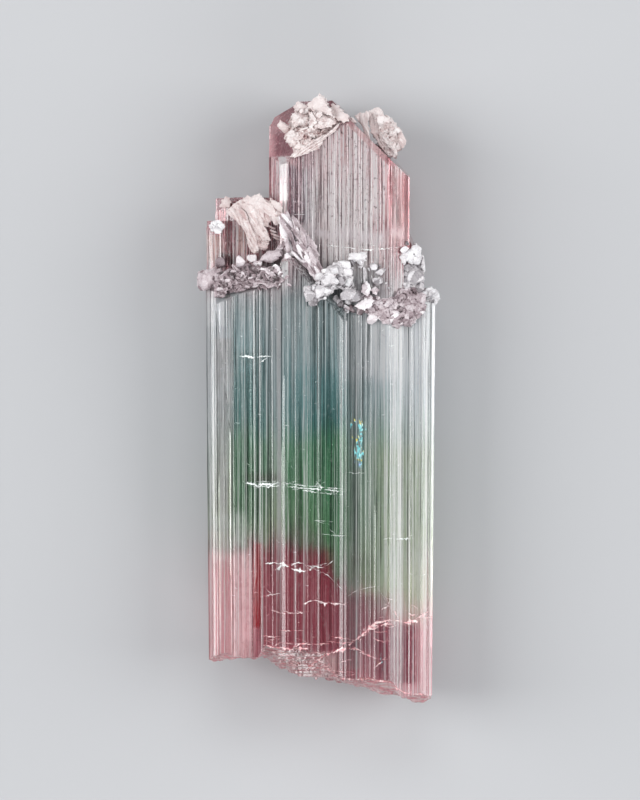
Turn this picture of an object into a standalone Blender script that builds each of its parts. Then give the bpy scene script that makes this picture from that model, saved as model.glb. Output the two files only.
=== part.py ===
"""Colour-zoned elbaite tourmaline with albite, lying on its flat back face.

Long striated prisms of tourmaline, grown together side by side as one crystal, carry
clusters of bladed albite (cleavelandite) on their tips and round their shoulder. The
crystal's long axis runs along +Y towards the tips, +X is across its front and +Z is up,
out of its front. The origin is the middle of the resting face's side of the bounding box.

Sizes and places are written in millimetres, and MM makes them the scene's metres.
"""

import math
import random

import bmesh
import bpy
from mathutils import Euler, Matrix, Vector, noise

MM = 0.001
WELD = 0.00001  # metres

# Driving sizes of the crystal.
TIP_Y = 49.8  # the small flat end of the tall prism
SHOULDER_Y = 15.6  # where the outer prisms end and the collar of albite sits
BLANK_END_Y = 52.0  # prisms are extruded from here...
BLANK_BASE_Y = -54.0  # ...to here, then cut at the tip and broken off at the base
LEFT_X = -19.0
RIGHT_X = 19.2
FRONT_Z = 18.0  # front face of the tall prism
BACK_Z = 0.0  # the face that the crystal lies on
TAPER = 0.00045  # share of the width lost per millimetre towards the base

# Growth striae: long shallow steps across the prism faces.
STRIA_WIDTH = 2.1
STRIA_RELIEF = 0.32
STRIA_WALL = 0.14  # half the run of the sloping wall between two steps

GAP = 0.3  # between the albite and the tourmaline that it sits on

# Each prism has a cross-section and the faces of its tip. "sides" are its left, right,
# back and front. "corners" says how each corner is cut (f is front, b back, l left and
# r right): the run along X of a face turned 30 degrees from the front, then of one turned
# 60 degrees. "faces" are planes, each by its outward normal and a point on it.
PRISMS = {
    "tall": {
        "sides": (-8.4, 14.8, 1.5, FRONT_Z),
        "corners": {"fl": (1.3, 1.8), "fr": (2.0, 0.9), "bl": (3.0, 2.4), "br": (2.5, 2.3)},
        "faces": [
            ((0, 1, 0), (0, TIP_Y, 0)),
            ((0.70, 0.71, 0.06), (5.2, 46.1, FRONT_Z)),
            ((-0.46, 0.69, 0.56), (5.2, 46.1, FRONT_Z)),
            ((-0.74, 0.67, 0.0), (-8.4, 46.4, 10.0)),
            ((-0.35, 0.70, -0.62), (-3.0, TIP_Y, 6.5)),
        ],
    },
    "front": {
        "sides": (-6.5, 4.5, 8.0, 20.8),
        "corners": {"fl": (0.45, 0.2), "fr": (0.4, 0.2), "bl": (2.0, 1.5), "br": (2.0, 1.5)},
        "faces": [
            ((0, 1, 0), (0, 23.2, 0)),
            ((-0.62, 0.62, 0.48), (-5.3, 22.8, 20.8)),
            ((0.60, 0.55, 0.58), (-5.3, 22.8, 20.8)),
        ],
    },
    "front left": {
        "sides": (-15.0, -5.6, 8.0, 19.5),
        "corners": {"fl": (0.3, 0.1), "fr": (0.4, 0.2), "bl": (2.0, 1.5), "br": (1.0, 0.8)},
        "faces": [((-0.26, 0.80, 0.54), (-8.0, 18.9, 19.5))],
    },
    "left wedge": {
        "sides": (-17.5, -9.0, 9.0, 19.2),
        "corners": {"fl": (0.2, 0.1), "fr": (0.4, 0.2), "bl": (1.0, 0.8), "br": (1.0, 0.8)},
        "faces": [
            ((-0.26, 0.80, 0.54), (-8.0, 18.6, 19.2)),
            ((-1.0, -0.118, 0.12), (-17.2, SHOULDER_Y, 19.2)),
        ],
    },
    "left tip": {
        "sides": (-17.3, -5.0, 4.2, 15.6),
        "corners": {"fl": (2.4, 0.5), "fr": (1.0, 0.8), "bl": (2.0, 1.7), "br": (1.0, 0.8)},
        "faces": [
            ((0, 1, 0), (0, 33.5, 0)),
            ((-0.62, 0.70, 0.35), (-17.3, 32.9, 10.0)),
            ((0.1, 0.66, 0.74), (-10.0, 31.6, 15.6)),
        ],
    },
    "left edge tip": {
        "sides": (-18.8, -15.6, 6.0, 16.9),
        "corners": {"fl": (0.6, 0.5), "fr": (0.5, 0.3), "bl": (0.8, 0.8), "br": (0.5, 0.4)},
        "faces": [
            ((0, 1, 0), (0, 29.6, 0)),
            ((-0.45, 0.72, 0.53), (-17.2, 28.6, 16.9)),
        ],
    },
    "left edge": {
        "sides": (LEFT_X, -13.8, 4.0, 17.3),
        "corners": {"fl": (1.0, 0.75), "fr": (0.6, 0.4), "bl": (1.6, 1.4), "br": (1.0, 0.6)},
        "faces": [((-0.20, 0.96, 0.18), (-17.0, 20.6, 17.3))],
    },
    "right edge": {
        "sides": (11.9, RIGHT_X, 4.6, 16.9),
        "corners": {"fl": (0.6, 0.3), "fr": (1.5, 0.7), "bl": (1.0, 0.8), "br": (2.0, 1.6)},
        "faces": [((0.30, 0.94, 0.12), (16.5, SHOULDER_Y + 0.8, 16.9))],
    },
    "right tip": {
        "sides": (12.6, 17.3, 5.6, 15.0),
        "corners": {"fl": (0.5, 0.3), "fr": (1.0, 0.8), "bl": (0.8, 0.6), "br": (1.2, 1.0)},
        "faces": [((0.90, 0.42, 0.08), (15.4, 26.2, 10.0))],
    },
    "back": {
        "sides": (-16.6, 16.6, BACK_Z, 12.2),
        "corners": {"fl": (1.5, 1.0), "fr": (1.5, 1.0), "bl": (3.4, 2.4), "br": (3.2, 2.4)},
        "faces": [
            ((0.12, 0.80, -0.58), (0, 24.5, 2.0)),
            ((-0.5, 0.86, 0.0), (-12.0, 23.0, 6.0)),
            ((0.5, 0.86, 0.0), (12.0, 22.0, 6.0)),
        ],
    },
}

# The broken base, as bent lines of (X, Y): how far down the crystal reaches at its front,
# and further back, at BREAK_DEEP_Z, where it reaches lowest.
BREAK_FRONT = [
    (-22, -43.1), (-10.3, -42.6), (-9.2, -41.3), (0.8, -41.9), (1.9, -44.9), (3.9, -46.6),
    (6.0, -46.9), (8.0, -46.3), (12.2, -47.1), (13.7, -48.6), (22, -49.9),
]
BREAK_DEEP = [
    (-22, -43.4), (-9.0, -43.0), (-7.1, -44.5), (-3.4, -45.7), (0, -46.7), (3.3, -47.2),
    (6.0, -47.7), (10.7, -49.2), (14.7, -50.0), (17.0, -50.2), (22, -49.6),
]
BREAK_DEEP_Z = 11.0
BREAK_RISE = 2.6  # how much shorter the crystal is again at its back
BREAK_LUMP = 0.35  # height of the shallow lumps on the break
BREAK_LUMP_ACROSS = 0.35  # their spacing, as noise cells per millimetre
BREAK_LUMP_DEEP = 0.4
CUTTER_HALF_X = 22.0
CUTTER_HALF_Z = 14.0
CUTTER_MIDDLE_Z = 10.0
CUTTER_CELLS = (22, 12)

# Albite blades are thin discs and lumps are balls, both with uneven corners.
BLADE_CORNERS = 11
BLADE_BEVEL = 0.86  # the far side's size as a share of the near side's
BLADE_BOW = 0.35
BLADE_UNEVEN = (0.84, 1.12)
LUMP_UNEVEN = (0.86, 1.10)

WHITE = (0.86, 0.81, 0.78, 1.0)
PINKISH = (0.84, 0.74, 0.73, 1.0)
LILAC_GREY = (0.66, 0.62, 0.65, 1.0)
CLEAR_GREY = (0.74, 0.73, 0.75, 1.0)
SEA_GREEN = (0.42, 0.52, 0.47, 1.0)

# Each cluster of albite: its colour, then its blades and its lumps.
# A blade is (x, y, z, length, width, thickness, lean, turn, tip): its middle, its size,
# then its lean across the front, its turn about its length and its tip out of the front,
# in degrees. A lump is (x, y, z, half width, half length, half depth).
CLUSTERS = {
    "albite_crown_left": {
        "colour": WHITE,
        "blades": [
            (-0.4, 47.6, 14.6, 6.0, 4.6, 1.3, 4, 24, -12),
            (3.0, 47.5, 15.0, 4.2, 2.0, 0.9, 36, 38, -5),
            (-3.1, 47.5, 14.2, 3.8, 3.0, 1.2, 30, -15, -8),
            (-6.1, 45.1, 16.6, 2.8, 1.5, 1.1, 48, 10, 12),
            (-2.4, 44.2, 17.2, 6.4, 5.4, 2.6, 38, 12, 30),
            (0.7, 45.1, 17.0, 5.8, 4.6, 2.0, -30, -18, 24),
            (-3.9, 42.2, 18.2, 4.6, 2.8, 1.5, 40, 20, 34),
            (2.2, 43.6, 18.0, 4.4, 2.4, 1.1, -42, 15, 22),
            (-4.6, 44.6, 16.6, 3.6, 3.0, 1.8, 10, -30, 20),
        ],
        "lumps": [
            (-1.4, 44.6, 16.8, 3.0, 2.8, 2.0),
            (-3.4, 45.8, 15.4, 2.2, 2.2, 1.8),
            (1.2, 46.2, 15.6, 2.4, 1.9, 1.7),
        ],
    },
    "albite_crown_right": {
        "colour": PINKISH,
        "blades": [
            (11.2, 44.5, 12.6, 9.2, 6.2, 1.7, 32, -24, 4),
            (7.0, 45.5, 14.0, 6.4, 3.6, 1.3, 18, -44, 6),
            (12.4, 41.7, 13.6, 3.4, 3.0, 1.4, 12, 20, 10),
            (9.8, 46.0, 9.6, 6.0, 5.0, 1.6, 48, 16, -12),
            (5.0, 46.9, 13.0, 2.8, 2.6, 1.2, -20, 12, 0),
            (12.4, 43.2, 8.2, 5.2, 4.0, 1.6, 36, 34, -14),
        ],
        "lumps": [
            (10.4, 43.6, 12.6, 2.8, 2.8, 2.4),
            (7.6, 45.4, 12.6, 2.4, 2.2, 2.2),
            (11.2, 42.8, 9.4, 2.2, 2.4, 2.6),
        ],
    },
    "albite_fan_left": {
        "colour": WHITE,
        "blades": [
            (-12.0, 29.6, 17.0, 8.2, 4.4, 1.2, 42, 20, 6),
            (-10.6, 28.2, 17.4, 7.4, 2.8, 1.2, 32, 46, 2),
            (-8.9, 30.9, 16.6, 5.8, 4.2, 1.3, 64, -20, 6),
            (-15.2, 32.4, 15.4, 3.2, 2.6, 1.2, 24, 12, -10),
            (-11.4, 32.6, 15.2, 4.4, 3.2, 1.2, 78, 14, -14),
            (-7.0, 30.4, 17.6, 4.4, 2.8, 1.1, 30, 24, 4),
            (-10.4, 25.4, 17.2, 3.6, 2.6, 1.1, 28, -24, 8),
            (-12.0, 30.2, 16.0, 6.0, 5.6, 1.4, 50, 0, 10),
        ],
        "lumps": [
            (-11.4, 29.6, 16.4, 2.8, 2.2, 1.6),
            (-9.0, 30.2, 16.6, 2.6, 2.0, 1.5),
        ],
    },
    "albite_knob_left": {
        "colour": WHITE,
        "blades": [],
        "lumps": [
            (-17.2, 28.9, 17.0, 1.4, 1.5, 1.2),
            (-16.6, 28.2, 17.6, 0.8, 0.8, 0.7),
            (-17.9, 28.2, 16.6, 0.9, 0.9, 0.9),
        ],
    },
    "albite_collar_left": {
        "colour": LILAC_GREY,
        "blades": [],
        "lumps": [
            (-18.8, 20.2, 8.6, 1.5, 1.8, 2.4),
            (-18.9, 19.8, 12.0, 1.5, 2.0, 3.0),
            (-18.0, 19.6, 15.6, 2.4, 2.1, 2.8),
            (-18.5, 19.5, 16.9, 1.5, 1.8, 1.5),
            (-16.2, 18.8, 17.6, 2.2, 2.1, 1.5),
            (-15.4, 21.4, 17.4, 1.2, 1.3, 1.2),
            (-14.0, 19.1, 18.8, 2.4, 2.0, 1.6),
            (-13.0, 22.2, 17.8, 1.4, 1.3, 1.3),
            (-12.6, 20.8, 18.4, 1.5, 1.5, 1.3),
            (-11.8, 19.7, 19.2, 2.0, 1.8, 1.5),
            (-10.4, 22.4, 17.8, 1.5, 1.2, 1.2),
            (-9.7, 20.0, 19.6, 2.2, 1.3, 1.3),
            (-9.2, 21.8, 18.4, 1.6, 1.5, 1.3),
            (-8.3, 23.5, 17.9, 1.7, 1.2, 1.2),
            (-7.6, 20.6, 19.2, 1.8, 1.2, 1.4),
        ],
    },
    "albite_collar_middle": {
        "colour": WHITE,
        "blades": [],
        "lumps": [
            (4.6, 20.6, 19.2, 1.2, 1.4, 1.4),
            (3.6, 18.8, 20.6, 1.2, 1.3, 1.2),
            (3.2, 22.6, 19.0, 1.3, 1.2, 1.2),
            (2.6, 20.4, 20.2, 1.4, 1.4, 1.4),
            (1.8, 22.0, 19.6, 1.4, 1.2, 1.3),
            (0.7, 20.6, 20.4, 1.5, 1.4, 1.2),
            (-0.4, 19.1, 21.2, 1.4, 1.4, 1.0),
            (-1.3, 17.7, 21.5, 1.3, 1.3, 0.9),
            (-1.2, 16.2, 21.5, 1.1, 1.1, 0.7),
        ],
    },
    "albite_collar_right": {
        "colour": LILAC_GREY,
        "blades": [],
        "lumps": [
            (6.4, 17.2, 18.8, 1.5, 1.4, 1.4),
            (7.6, 15.8, 18.9, 1.6, 1.7, 1.3),
            (9.2, 14.7, 18.9, 1.8, 1.9, 1.3),
            (9.0, 17.4, 18.4, 1.5, 1.3, 1.2),
            (11.0, 13.8, 18.7, 1.9, 2.0, 1.4),
            (11.4, 17.0, 18.2, 1.6, 1.4, 1.2),
            (12.8, 14.5, 18.0, 1.8, 1.9, 1.5),
            (13.4, 18.0, 17.4, 1.5, 1.5, 1.4),
            (14.7, 15.6, 17.3, 1.9, 1.8, 1.5),
            (16.3, 16.6, 16.0, 1.7, 1.7, 1.6),
        ],
    },
    "albite_knob_right": {
        "colour": WHITE,
        "blades": [],
        "lumps": [
            (18.3, 17.3, 12.4, 1.7, 1.7, 1.7),
            (19.0, 16.6, 12.0, 1.2, 1.3, 1.4),
            (17.4, 18.4, 13.2, 1.3, 1.2, 1.3),
            (18.9, 17.0, 9.8, 1.3, 1.6, 2.4),
        ],
    },
    "albite_shoulder_right": {
        "colour": CLEAR_GREY,
        "blades": [],
        "lumps": [
            (14.4, 24.2, 15.4, 1.6, 1.4, 1.1),
            (15.8, 25.0, 14.6, 1.4, 1.6, 1.2),
            (15.6, 22.8, 15.2, 1.3, 1.5, 1.2),
            (15.0, 21.0, 15.8, 1.6, 1.5, 1.3),
            (16.6, 20.8, 14.4, 1.2, 1.6, 1.6),
            (17.3, 23.2, 13.2, 1.1, 1.8, 1.8),
        ],
    },
}


def clear_scene():
    for thing in list(bpy.data.objects):
        bpy.data.objects.remove(thing)


def new_collection(name):
    made = bpy.data.collections.new(name)
    bpy.context.scene.collection.children.link(made)
    return made


def stone_material(name, colour, roughness, transmission):
    """A stone's Principled surface."""
    material = bpy.data.materials.new(name)
    material.use_nodes = True
    shader = material.node_tree.nodes["Principled BSDF"]
    shader.inputs["Base Color"].default_value = colour
    shader.inputs["Metallic"].default_value = 0.0
    shader.inputs["Roughness"].default_value = roughness
    shader.inputs["Transmission Weight"].default_value = transmission
    return material


def helper_object(bm, name, collection):
    """A bmesh in metres as a wire-frame helper, left out of the finished model."""
    bmesh.ops.recalc_face_normals(bm, faces=bm.faces)
    mesh = bpy.data.meshes.new(name)
    bm.to_mesh(mesh)
    bm.free()
    made = bpy.data.objects.new(name, mesh)
    made.hide_render = True
    made.display_type = "WIRE"
    collection.objects.link(made)
    return made


def add_boolean(thing, operation, other):
    """A live Boolean with one object or with everything in a collection."""
    modifier = thing.modifiers.new(operation.title(), "BOOLEAN")
    modifier.operation = operation
    modifier.solver = "EXACT"
    if isinstance(other, bpy.types.Collection):
        modifier.operand_type = "COLLECTION"
        modifier.collection = other
    else:
        modifier.object = other


def make_part(thing, name, collection, helpers, material):
    """Turns a helper into one of the model's parts."""
    helpers.objects.unlink(thing)
    collection.objects.link(thing)
    thing.name = name
    thing.hide_render = False
    thing.display_type = "TEXTURED"
    thing.data.materials.append(material)
    return thing


# Tourmaline


def corner(x, z, inward_x, inward_z, runs):
    """The three points of a corner cut by a face at 30 degrees and one at 60 degrees."""
    shallow, steep = runs
    shallow_drop = shallow * math.tan(math.radians(30))
    steep_drop = steep * math.tan(math.radians(60))
    return [
        Vector((x + inward_x * (shallow + steep), z)),
        Vector((x + inward_x * steep, z + inward_z * shallow_drop)),
        Vector((x, z + inward_z * (shallow_drop + steep_drop))),
    ]


def prism_outline(sides, corners, grow):
    """Counter-clockwise cross-section in (X, Z), pushed outwards by grow."""
    left, right, back, front = sides
    left, right, back, front = left - grow, right + grow, back - grow, front + grow
    clockwise = (
        corner(right, front, -1, -1, corners["fr"])
        + corner(right, back, -1, 1, corners["br"])[::-1]
        + corner(left, back, 1, 1, corners["bl"])
        + corner(left, front, 1, -1, corners["fl"])[::-1]
    )
    return clockwise[::-1]


def striated(outline, rng):
    """Breaks each side of the outline into steps of uneven width, set back a little.

    The face that the crystal lies on stays flat.
    """
    points = []
    for start, end in zip(outline, outline[1:] + outline[:1]):
        points.append(start)
        length = (end - start).length
        steps = int(length / STRIA_WIDTH)
        if steps < 2 or start.y == end.y == BACK_Z:
            continue
        along = (end - start) / length
        inward = Vector((-along.y, along.x))
        cuts = [(k + rng.uniform(-0.3, 0.3)) * length / steps for k in range(1, steps)]
        depths = [rng.uniform(0.2, 1.0) * STRIA_RELIEF * (k % 2) for k in range(steps)]
        depths[-1] = 0.0
        for cut, before, after in zip(cuts, depths, depths[1:]):
            points.append(start + along * (cut - STRIA_WALL) + inward * before)
            points.append(start + along * (cut + STRIA_WALL) + inward * after)
    return points


def extruded(outline):
    """The cross-section as a long closed bmesh, in metres."""
    curve = bpy.data.curves.new("outline", "CURVE")
    curve.dimensions = "2D"
    curve.fill_mode = "BOTH"
    curve.extrude = (BLANK_END_Y - BLANK_BASE_Y) / 2 * MM
    spline = curve.splines.new("POLY")
    spline.points.add(len(outline) - 1)
    for point, (x, z) in zip(spline.points, outline):
        point.co = (x * MM, z * MM, 0.0, 1.0)
    spline.use_cyclic_u = True
    blank = bpy.data.objects.new("outline", curve)
    bpy.context.scene.collection.objects.link(blank)
    blank.location = (0.0, (BLANK_END_Y + BLANK_BASE_Y) / 2 * MM, 0.0)
    blank.rotation_euler = (math.radians(90), 0.0, 0.0)
    bpy.context.view_layer.update()
    graph = bpy.context.evaluated_depsgraph_get()
    bm = bmesh.new()
    bm.from_mesh(bpy.data.meshes.new_from_object(blank.evaluated_get(graph)))
    bmesh.ops.transform(bm, matrix=blank.matrix_world, verts=bm.verts)
    bmesh.ops.remove_doubles(bm, verts=bm.verts, dist=WELD)
    bpy.data.objects.remove(blank)
    return bm


def cut_at(bm, point, normal):
    """Cuts away what lies beyond a plane, and closes the cut with a flat face."""
    everything = bm.verts[:] + bm.edges[:] + bm.faces[:]
    bmesh.ops.bisect_plane(bm, geom=everything, plane_co=point, plane_no=normal, clear_outer=True)
    open_edges = [edge for edge in bm.edges if edge.is_boundary]
    bmesh.ops.holes_fill(bm, edges=open_edges, sides=0)


def grown_prism(name, collection, grow):
    """One striated prism of the growth, a little wider towards its tip.

    With grow it is that much larger all round, and smooth.
    """
    shape = PRISMS[name]
    outline = prism_outline(shape["sides"], shape["corners"], grow)
    if not grow:
        outline = striated(outline, random.Random(name))
    bm = extruded(outline)
    for normal, point in shape["faces"]:
        normal = Vector(normal).normalized()
        cut_at(bm, (Vector(point) + normal * grow) * MM, normal)
    for vert in bm.verts:
        vert.co.x *= 1 + TAPER * (vert.co.y / MM - SHOULDER_Y)
    return helper_object(bm, f"{name} prism", collection)


def height_at(line, x):
    """Y of a bent line of (X, Y) points at x."""
    for (x0, y0), (x1, y1) in zip(line, line[1:]):
        if x <= x1:
            return y0 + (y1 - y0) * (x - x0) / (x1 - x0)
    return line[-1][1]


def break_height(x, z):
    """Y of the broken base at (x, z): lowest at BREAK_DEEP_Z, with shallow lumps."""
    deep = height_at(BREAK_DEEP, x)
    if z > BREAK_DEEP_Z:
        share = min(1.0, (z - BREAK_DEEP_Z) / (FRONT_Z - BREAK_DEEP_Z))
        rise = (height_at(BREAK_FRONT, x) - deep) * share**2
    else:
        rise = BREAK_RISE * ((BREAK_DEEP_Z - z) / BREAK_DEEP_Z) ** 2
    cell = Vector((x * BREAK_LUMP_ACROSS, z * BREAK_LUMP_DEEP, 1.7))
    return deep + rise + BREAK_LUMP * noise.noise(cell)


def break_cutter(collection):
    """A block whose upper side is the surface that the crystal broke off along."""
    across, deep = CUTTER_CELLS
    bm = bmesh.new()
    bmesh.ops.create_grid(bm, x_segments=across, y_segments=deep, size=1.0)
    sheet = bm.faces[:]
    for vert in bm.verts:
        x = vert.co.x * CUTTER_HALF_X
        z = CUTTER_MIDDLE_Z + vert.co.y * CUTTER_HALF_Z
        vert.co = Vector((x, break_height(x, z), z)) * MM
    grown = bmesh.ops.extrude_face_region(bm, geom=sheet)
    for element in grown["geom"]:
        if isinstance(element, bmesh.types.BMVert):
            element.co.y = 2 * BLANK_BASE_Y * MM
    return helper_object(bm, "base break", collection)


def grown_together(name, helpers, grow=0.0):
    """All the prisms of the growth as one solid."""
    others = new_collection(f"{name} prisms")
    first, *rest = PRISMS
    whole = grown_prism(first, helpers, grow)
    whole.name = name
    for prism in rest:
        grown_prism(prism, others, grow)
    add_boolean(whole, "UNION", others)
    return whole


# Albite


def blade(spec, rng, collection):
    """A thin albite plate: a disc with an uneven, notched rim, slightly bowed."""
    x, y, z, length, width, thickness, lean, turn, tip = spec
    bm = bmesh.new()
    bmesh.ops.create_cone(
        bm, cap_ends=True, segments=BLADE_CORNERS, radius1=0.5, radius2=0.5 * BLADE_BEVEL, depth=1.0
    )
    shares = {}
    for vert in bm.verts:
        angle = round(math.degrees(math.atan2(vert.co.y, vert.co.x)))
        share = shares.setdefault(angle, rng.uniform(*BLADE_UNEVEN))
        bow = BLADE_BOW * vert.co.x**2
        vert.co = (
            vert.co.x * share * width * MM,
            vert.co.y * share * length * MM,
            (vert.co.z + bow) * thickness * MM,
        )
    bmesh.ops.triangulate(bm, faces=bm.faces)
    angles = (math.radians(tip), math.radians(turn), math.radians(lean))
    place = Matrix.Translation(Vector((x, y, z)) * MM) @ Euler(angles).to_matrix().to_4x4()
    bmesh.ops.transform(bm, matrix=place, verts=bm.verts)
    return helper_object(bm, "blade", collection)


def lump(spec, rng, collection):
    """A knob of intergrown albite: a ball pushed in and out at its corners."""
    x, y, z, half_x, half_y, half_z = spec
    bm = bmesh.new()
    bmesh.ops.create_icosphere(bm, subdivisions=2, radius=1.0)
    for vert in bm.verts:
        share = rng.uniform(*LUMP_UNEVEN)
        vert.co = (
            (x + vert.co.x * half_x * share) * MM,
            (y + vert.co.y * half_y * share) * MM,
            (z + vert.co.z * half_z * share) * MM,
        )
    return helper_object(bm, "lump", collection)


def albite_cluster(name, stone, helpers):
    """Blades and lumps fused to the last lump, which has its origin in its own middle."""
    shape = CLUSTERS[name]
    rng = random.Random(name)
    others = new_collection(f"{name} pieces")
    for spec in shape["blades"]:
        blade(spec, rng, others)
    *rest, last = shape["lumps"]
    for spec in rest:
        lump(spec, rng, others)
    whole = lump(last, rng, helpers)
    middle = Vector(last[:3]) * MM
    whole.data.transform(Matrix.Translation(-middle))
    whole.location = middle
    add_boolean(whole, "UNION", others)
    add_boolean(whole, "DIFFERENCE", stone)
    return whole


def build():
    clear_scene()
    parts = new_collection("tourmaline with albite")
    helpers = new_collection("helpers")

    crystal = grown_together("tourmaline_crystal", helpers)
    add_boolean(crystal, "DIFFERENCE", break_cutter(helpers))
    clear = stone_material("tourmaline", SEA_GREEN, roughness=0.08, transmission=0.8)
    make_part(crystal, "tourmaline_crystal", parts, helpers, clear)

    stone = grown_together("tourmaline with its gap", helpers, GAP)
    for name, shape in CLUSTERS.items():
        cluster = albite_cluster(name, stone, helpers)
        finish = stone_material(name, shape["colour"], roughness=0.45, transmission=0.0)
        make_part(cluster, name, parts, helpers, finish)
        cluster.parent = crystal


build()
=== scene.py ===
"""Colour-zoned elbaite tourmaline with albite, lying on its flat back face."""

import math

import bmesh
import bpy
import numpy as np
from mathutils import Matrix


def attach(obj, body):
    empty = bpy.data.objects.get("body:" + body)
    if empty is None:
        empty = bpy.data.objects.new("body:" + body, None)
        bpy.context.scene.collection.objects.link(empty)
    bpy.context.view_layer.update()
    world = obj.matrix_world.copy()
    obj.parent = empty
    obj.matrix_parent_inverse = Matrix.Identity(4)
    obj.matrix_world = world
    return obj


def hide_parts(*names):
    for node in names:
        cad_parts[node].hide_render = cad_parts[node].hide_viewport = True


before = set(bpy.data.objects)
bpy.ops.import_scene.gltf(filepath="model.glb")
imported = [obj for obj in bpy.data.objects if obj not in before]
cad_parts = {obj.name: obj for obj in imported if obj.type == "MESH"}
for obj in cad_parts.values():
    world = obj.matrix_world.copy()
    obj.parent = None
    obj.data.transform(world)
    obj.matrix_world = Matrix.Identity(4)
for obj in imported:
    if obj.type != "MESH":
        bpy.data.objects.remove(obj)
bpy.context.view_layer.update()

# ---------------------------------------------------------------------------
# The tourmaline. A parallel growth of long prisms with trigonal cross-sections,
# grown together as one clear crystal. Every prism face is ruled with striae, and
# the base is a rough break.
# ---------------------------------------------------------------------------

MM = 0.001
TIP_Y = 49.8
SHOULDER_Y = 15.6
BLANK_Y = (-56.0, 53.0)
TAPER = 0.00045  # share of the width lost per millimetre towards the base
RINGS = 46

STRIA_FLAT = 0.34  # median width of the flat of one stria
STRIA_WALL = 0.085  # median width of the sloping wall between two striae
STRIA_SLOPE = math.tan(math.radians(38))
STRIA_DEPTH = 0.26
STRIA_FADE = 5.0  # length over which a stria starts or dies out

# Each prism: left, right, back and front of its cross-section, the runs of the faces
# at 30 and 60 degrees that cut each corner, and the planes of its tip.
PRISMS = {
    "tall": (
        (-8.4, 14.8, 1.5, 18.0),
        {"fl": (1.3, 1.8), "fr": (2.0, 0.9), "bl": (3.0, 2.4), "br": (2.5, 2.3)},
        [
            ((0, 1, 0), (0, TIP_Y, 0)),
            ((0.70, 0.71, 0.06), (5.2, 46.1, 18.0)),
            ((-0.46, 0.69, 0.56), (5.2, 46.1, 18.0)),
            ((-0.74, 0.67, 0.0), (-8.4, 46.4, 10.0)),
            ((-0.35, 0.70, -0.62), (-3.0, TIP_Y, 6.5)),
        ],
    ),
    "front": (
        (-6.5, 4.5, 8.0, 20.8),
        {"fl": (0.45, 0.2), "fr": (0.4, 0.2), "bl": (2.0, 1.5), "br": (2.0, 1.5)},
        [
            ((0, 1, 0), (0, 23.2, 0)),
            ((-0.62, 0.62, 0.48), (-5.3, 22.8, 20.8)),
            ((0.60, 0.55, 0.58), (-5.3, 22.8, 20.8)),
        ],
    ),
    "front left": (
        (-15.0, -5.6, 8.0, 19.5),
        {"fl": (0.3, 0.1), "fr": (0.4, 0.2), "bl": (2.0, 1.5), "br": (1.0, 0.8)},
        [((-0.26, 0.80, 0.54), (-8.0, 18.9, 19.5))],
    ),
    "left wedge": (
        (-17.5, -9.0, 9.0, 19.2),
        {"fl": (0.2, 0.1), "fr": (0.4, 0.2), "bl": (1.0, 0.8), "br": (1.0, 0.8)},
        [
            ((-0.26, 0.80, 0.54), (-8.0, 18.6, 19.2)),
            ((-1.0, -0.118, 0.12), (-17.2, SHOULDER_Y, 19.2)),
        ],
    ),
    "left tip": (
        (-17.3, -5.0, 4.2, 15.6),
        {"fl": (2.4, 0.5), "fr": (1.0, 0.8), "bl": (2.0, 1.7), "br": (1.0, 0.8)},
        [
            ((0, 1, 0), (0, 33.5, 0)),
            ((-0.62, 0.70, 0.35), (-17.3, 32.9, 10.0)),
            ((0.1, 0.66, 0.74), (-10.0, 31.6, 15.6)),
        ],
    ),
    "left edge tip": (
        (-18.8, -15.6, 6.0, 16.9),
        {"fl": (0.6, 0.5), "fr": (0.5, 0.3), "bl": (0.8, 0.8), "br": (0.5, 0.4)},
        [
            ((0, 1, 0), (0, 29.6, 0)),
            ((-0.45, 0.72, 0.53), (-17.2, 28.6, 16.9)),
        ],
    ),
    "left edge": (
        (-19.0, -13.8, 4.0, 17.3),
        {"fl": (1.0, 0.75), "fr": (0.6, 0.4), "bl": (1.6, 1.4), "br": (1.0, 0.6)},
        [((-0.20, 0.96, 0.18), (-17.0, 20.6, 17.3))],
    ),
    "right edge": (
        (11.9, 19.2, 4.6, 16.9),
        {"fl": (0.6, 0.3), "fr": (1.5, 0.7), "bl": (1.0, 0.8), "br": (2.0, 1.6)},
        [((0.30, 0.94, 0.12), (16.5, SHOULDER_Y + 0.8, 16.9))],
    ),
    "right tip": (
        (12.6, 17.3, 5.6, 15.0),
        {"fl": (0.5, 0.3), "fr": (1.0, 0.8), "bl": (0.8, 0.6), "br": (1.2, 1.0)},
        [((0.90, 0.42, 0.08), (15.4, 26.2, 10.0))],
    ),
    "back": (
        (-16.6, 16.6, 0.0, 12.2),
        {"fl": (1.5, 1.0), "fr": (1.5, 1.0), "bl": (3.4, 2.4), "br": (3.2, 2.4)},
        [
            ((0.12, 0.80, -0.58), (0, 24.5, 2.0)),
            ((-0.5, 0.86, 0.0), (-12.0, 23.0, 6.0)),
            ((0.5, 0.86, 0.0), (12.0, 22.0, 6.0)),
        ],
    ),
}


def prism_corners(sides, corners):
    """The twelve corners of a cross-section as (X, Z), counter-clockwise from the base.

    Each corner of the rectangle is cut twice: over its first run by a face turned 30
    degrees from the front and over its second by one turned 60 degrees.
    """
    left, right, back, front = sides
    rows = []
    for name, x, z, into_x, into_z in (
        ("fl", left, front, 1, -1),
        ("bl", left, back, 1, 1),
        ("br", right, back, -1, 1),
        ("fr", right, front, -1, -1),
    ):
        shallow, steep = corners[name]
        drop = shallow * math.tan(math.radians(30))
        deep = drop + steep * math.tan(math.radians(60))
        cut = [
            (x + into_x * (shallow + steep), z),
            (x + into_x * steep, z + into_z * drop),
            (x, z + into_z * deep),
        ]
        rows += cut if name in ("fl", "br") else cut[::-1]
    return np.array(rows)


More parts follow.
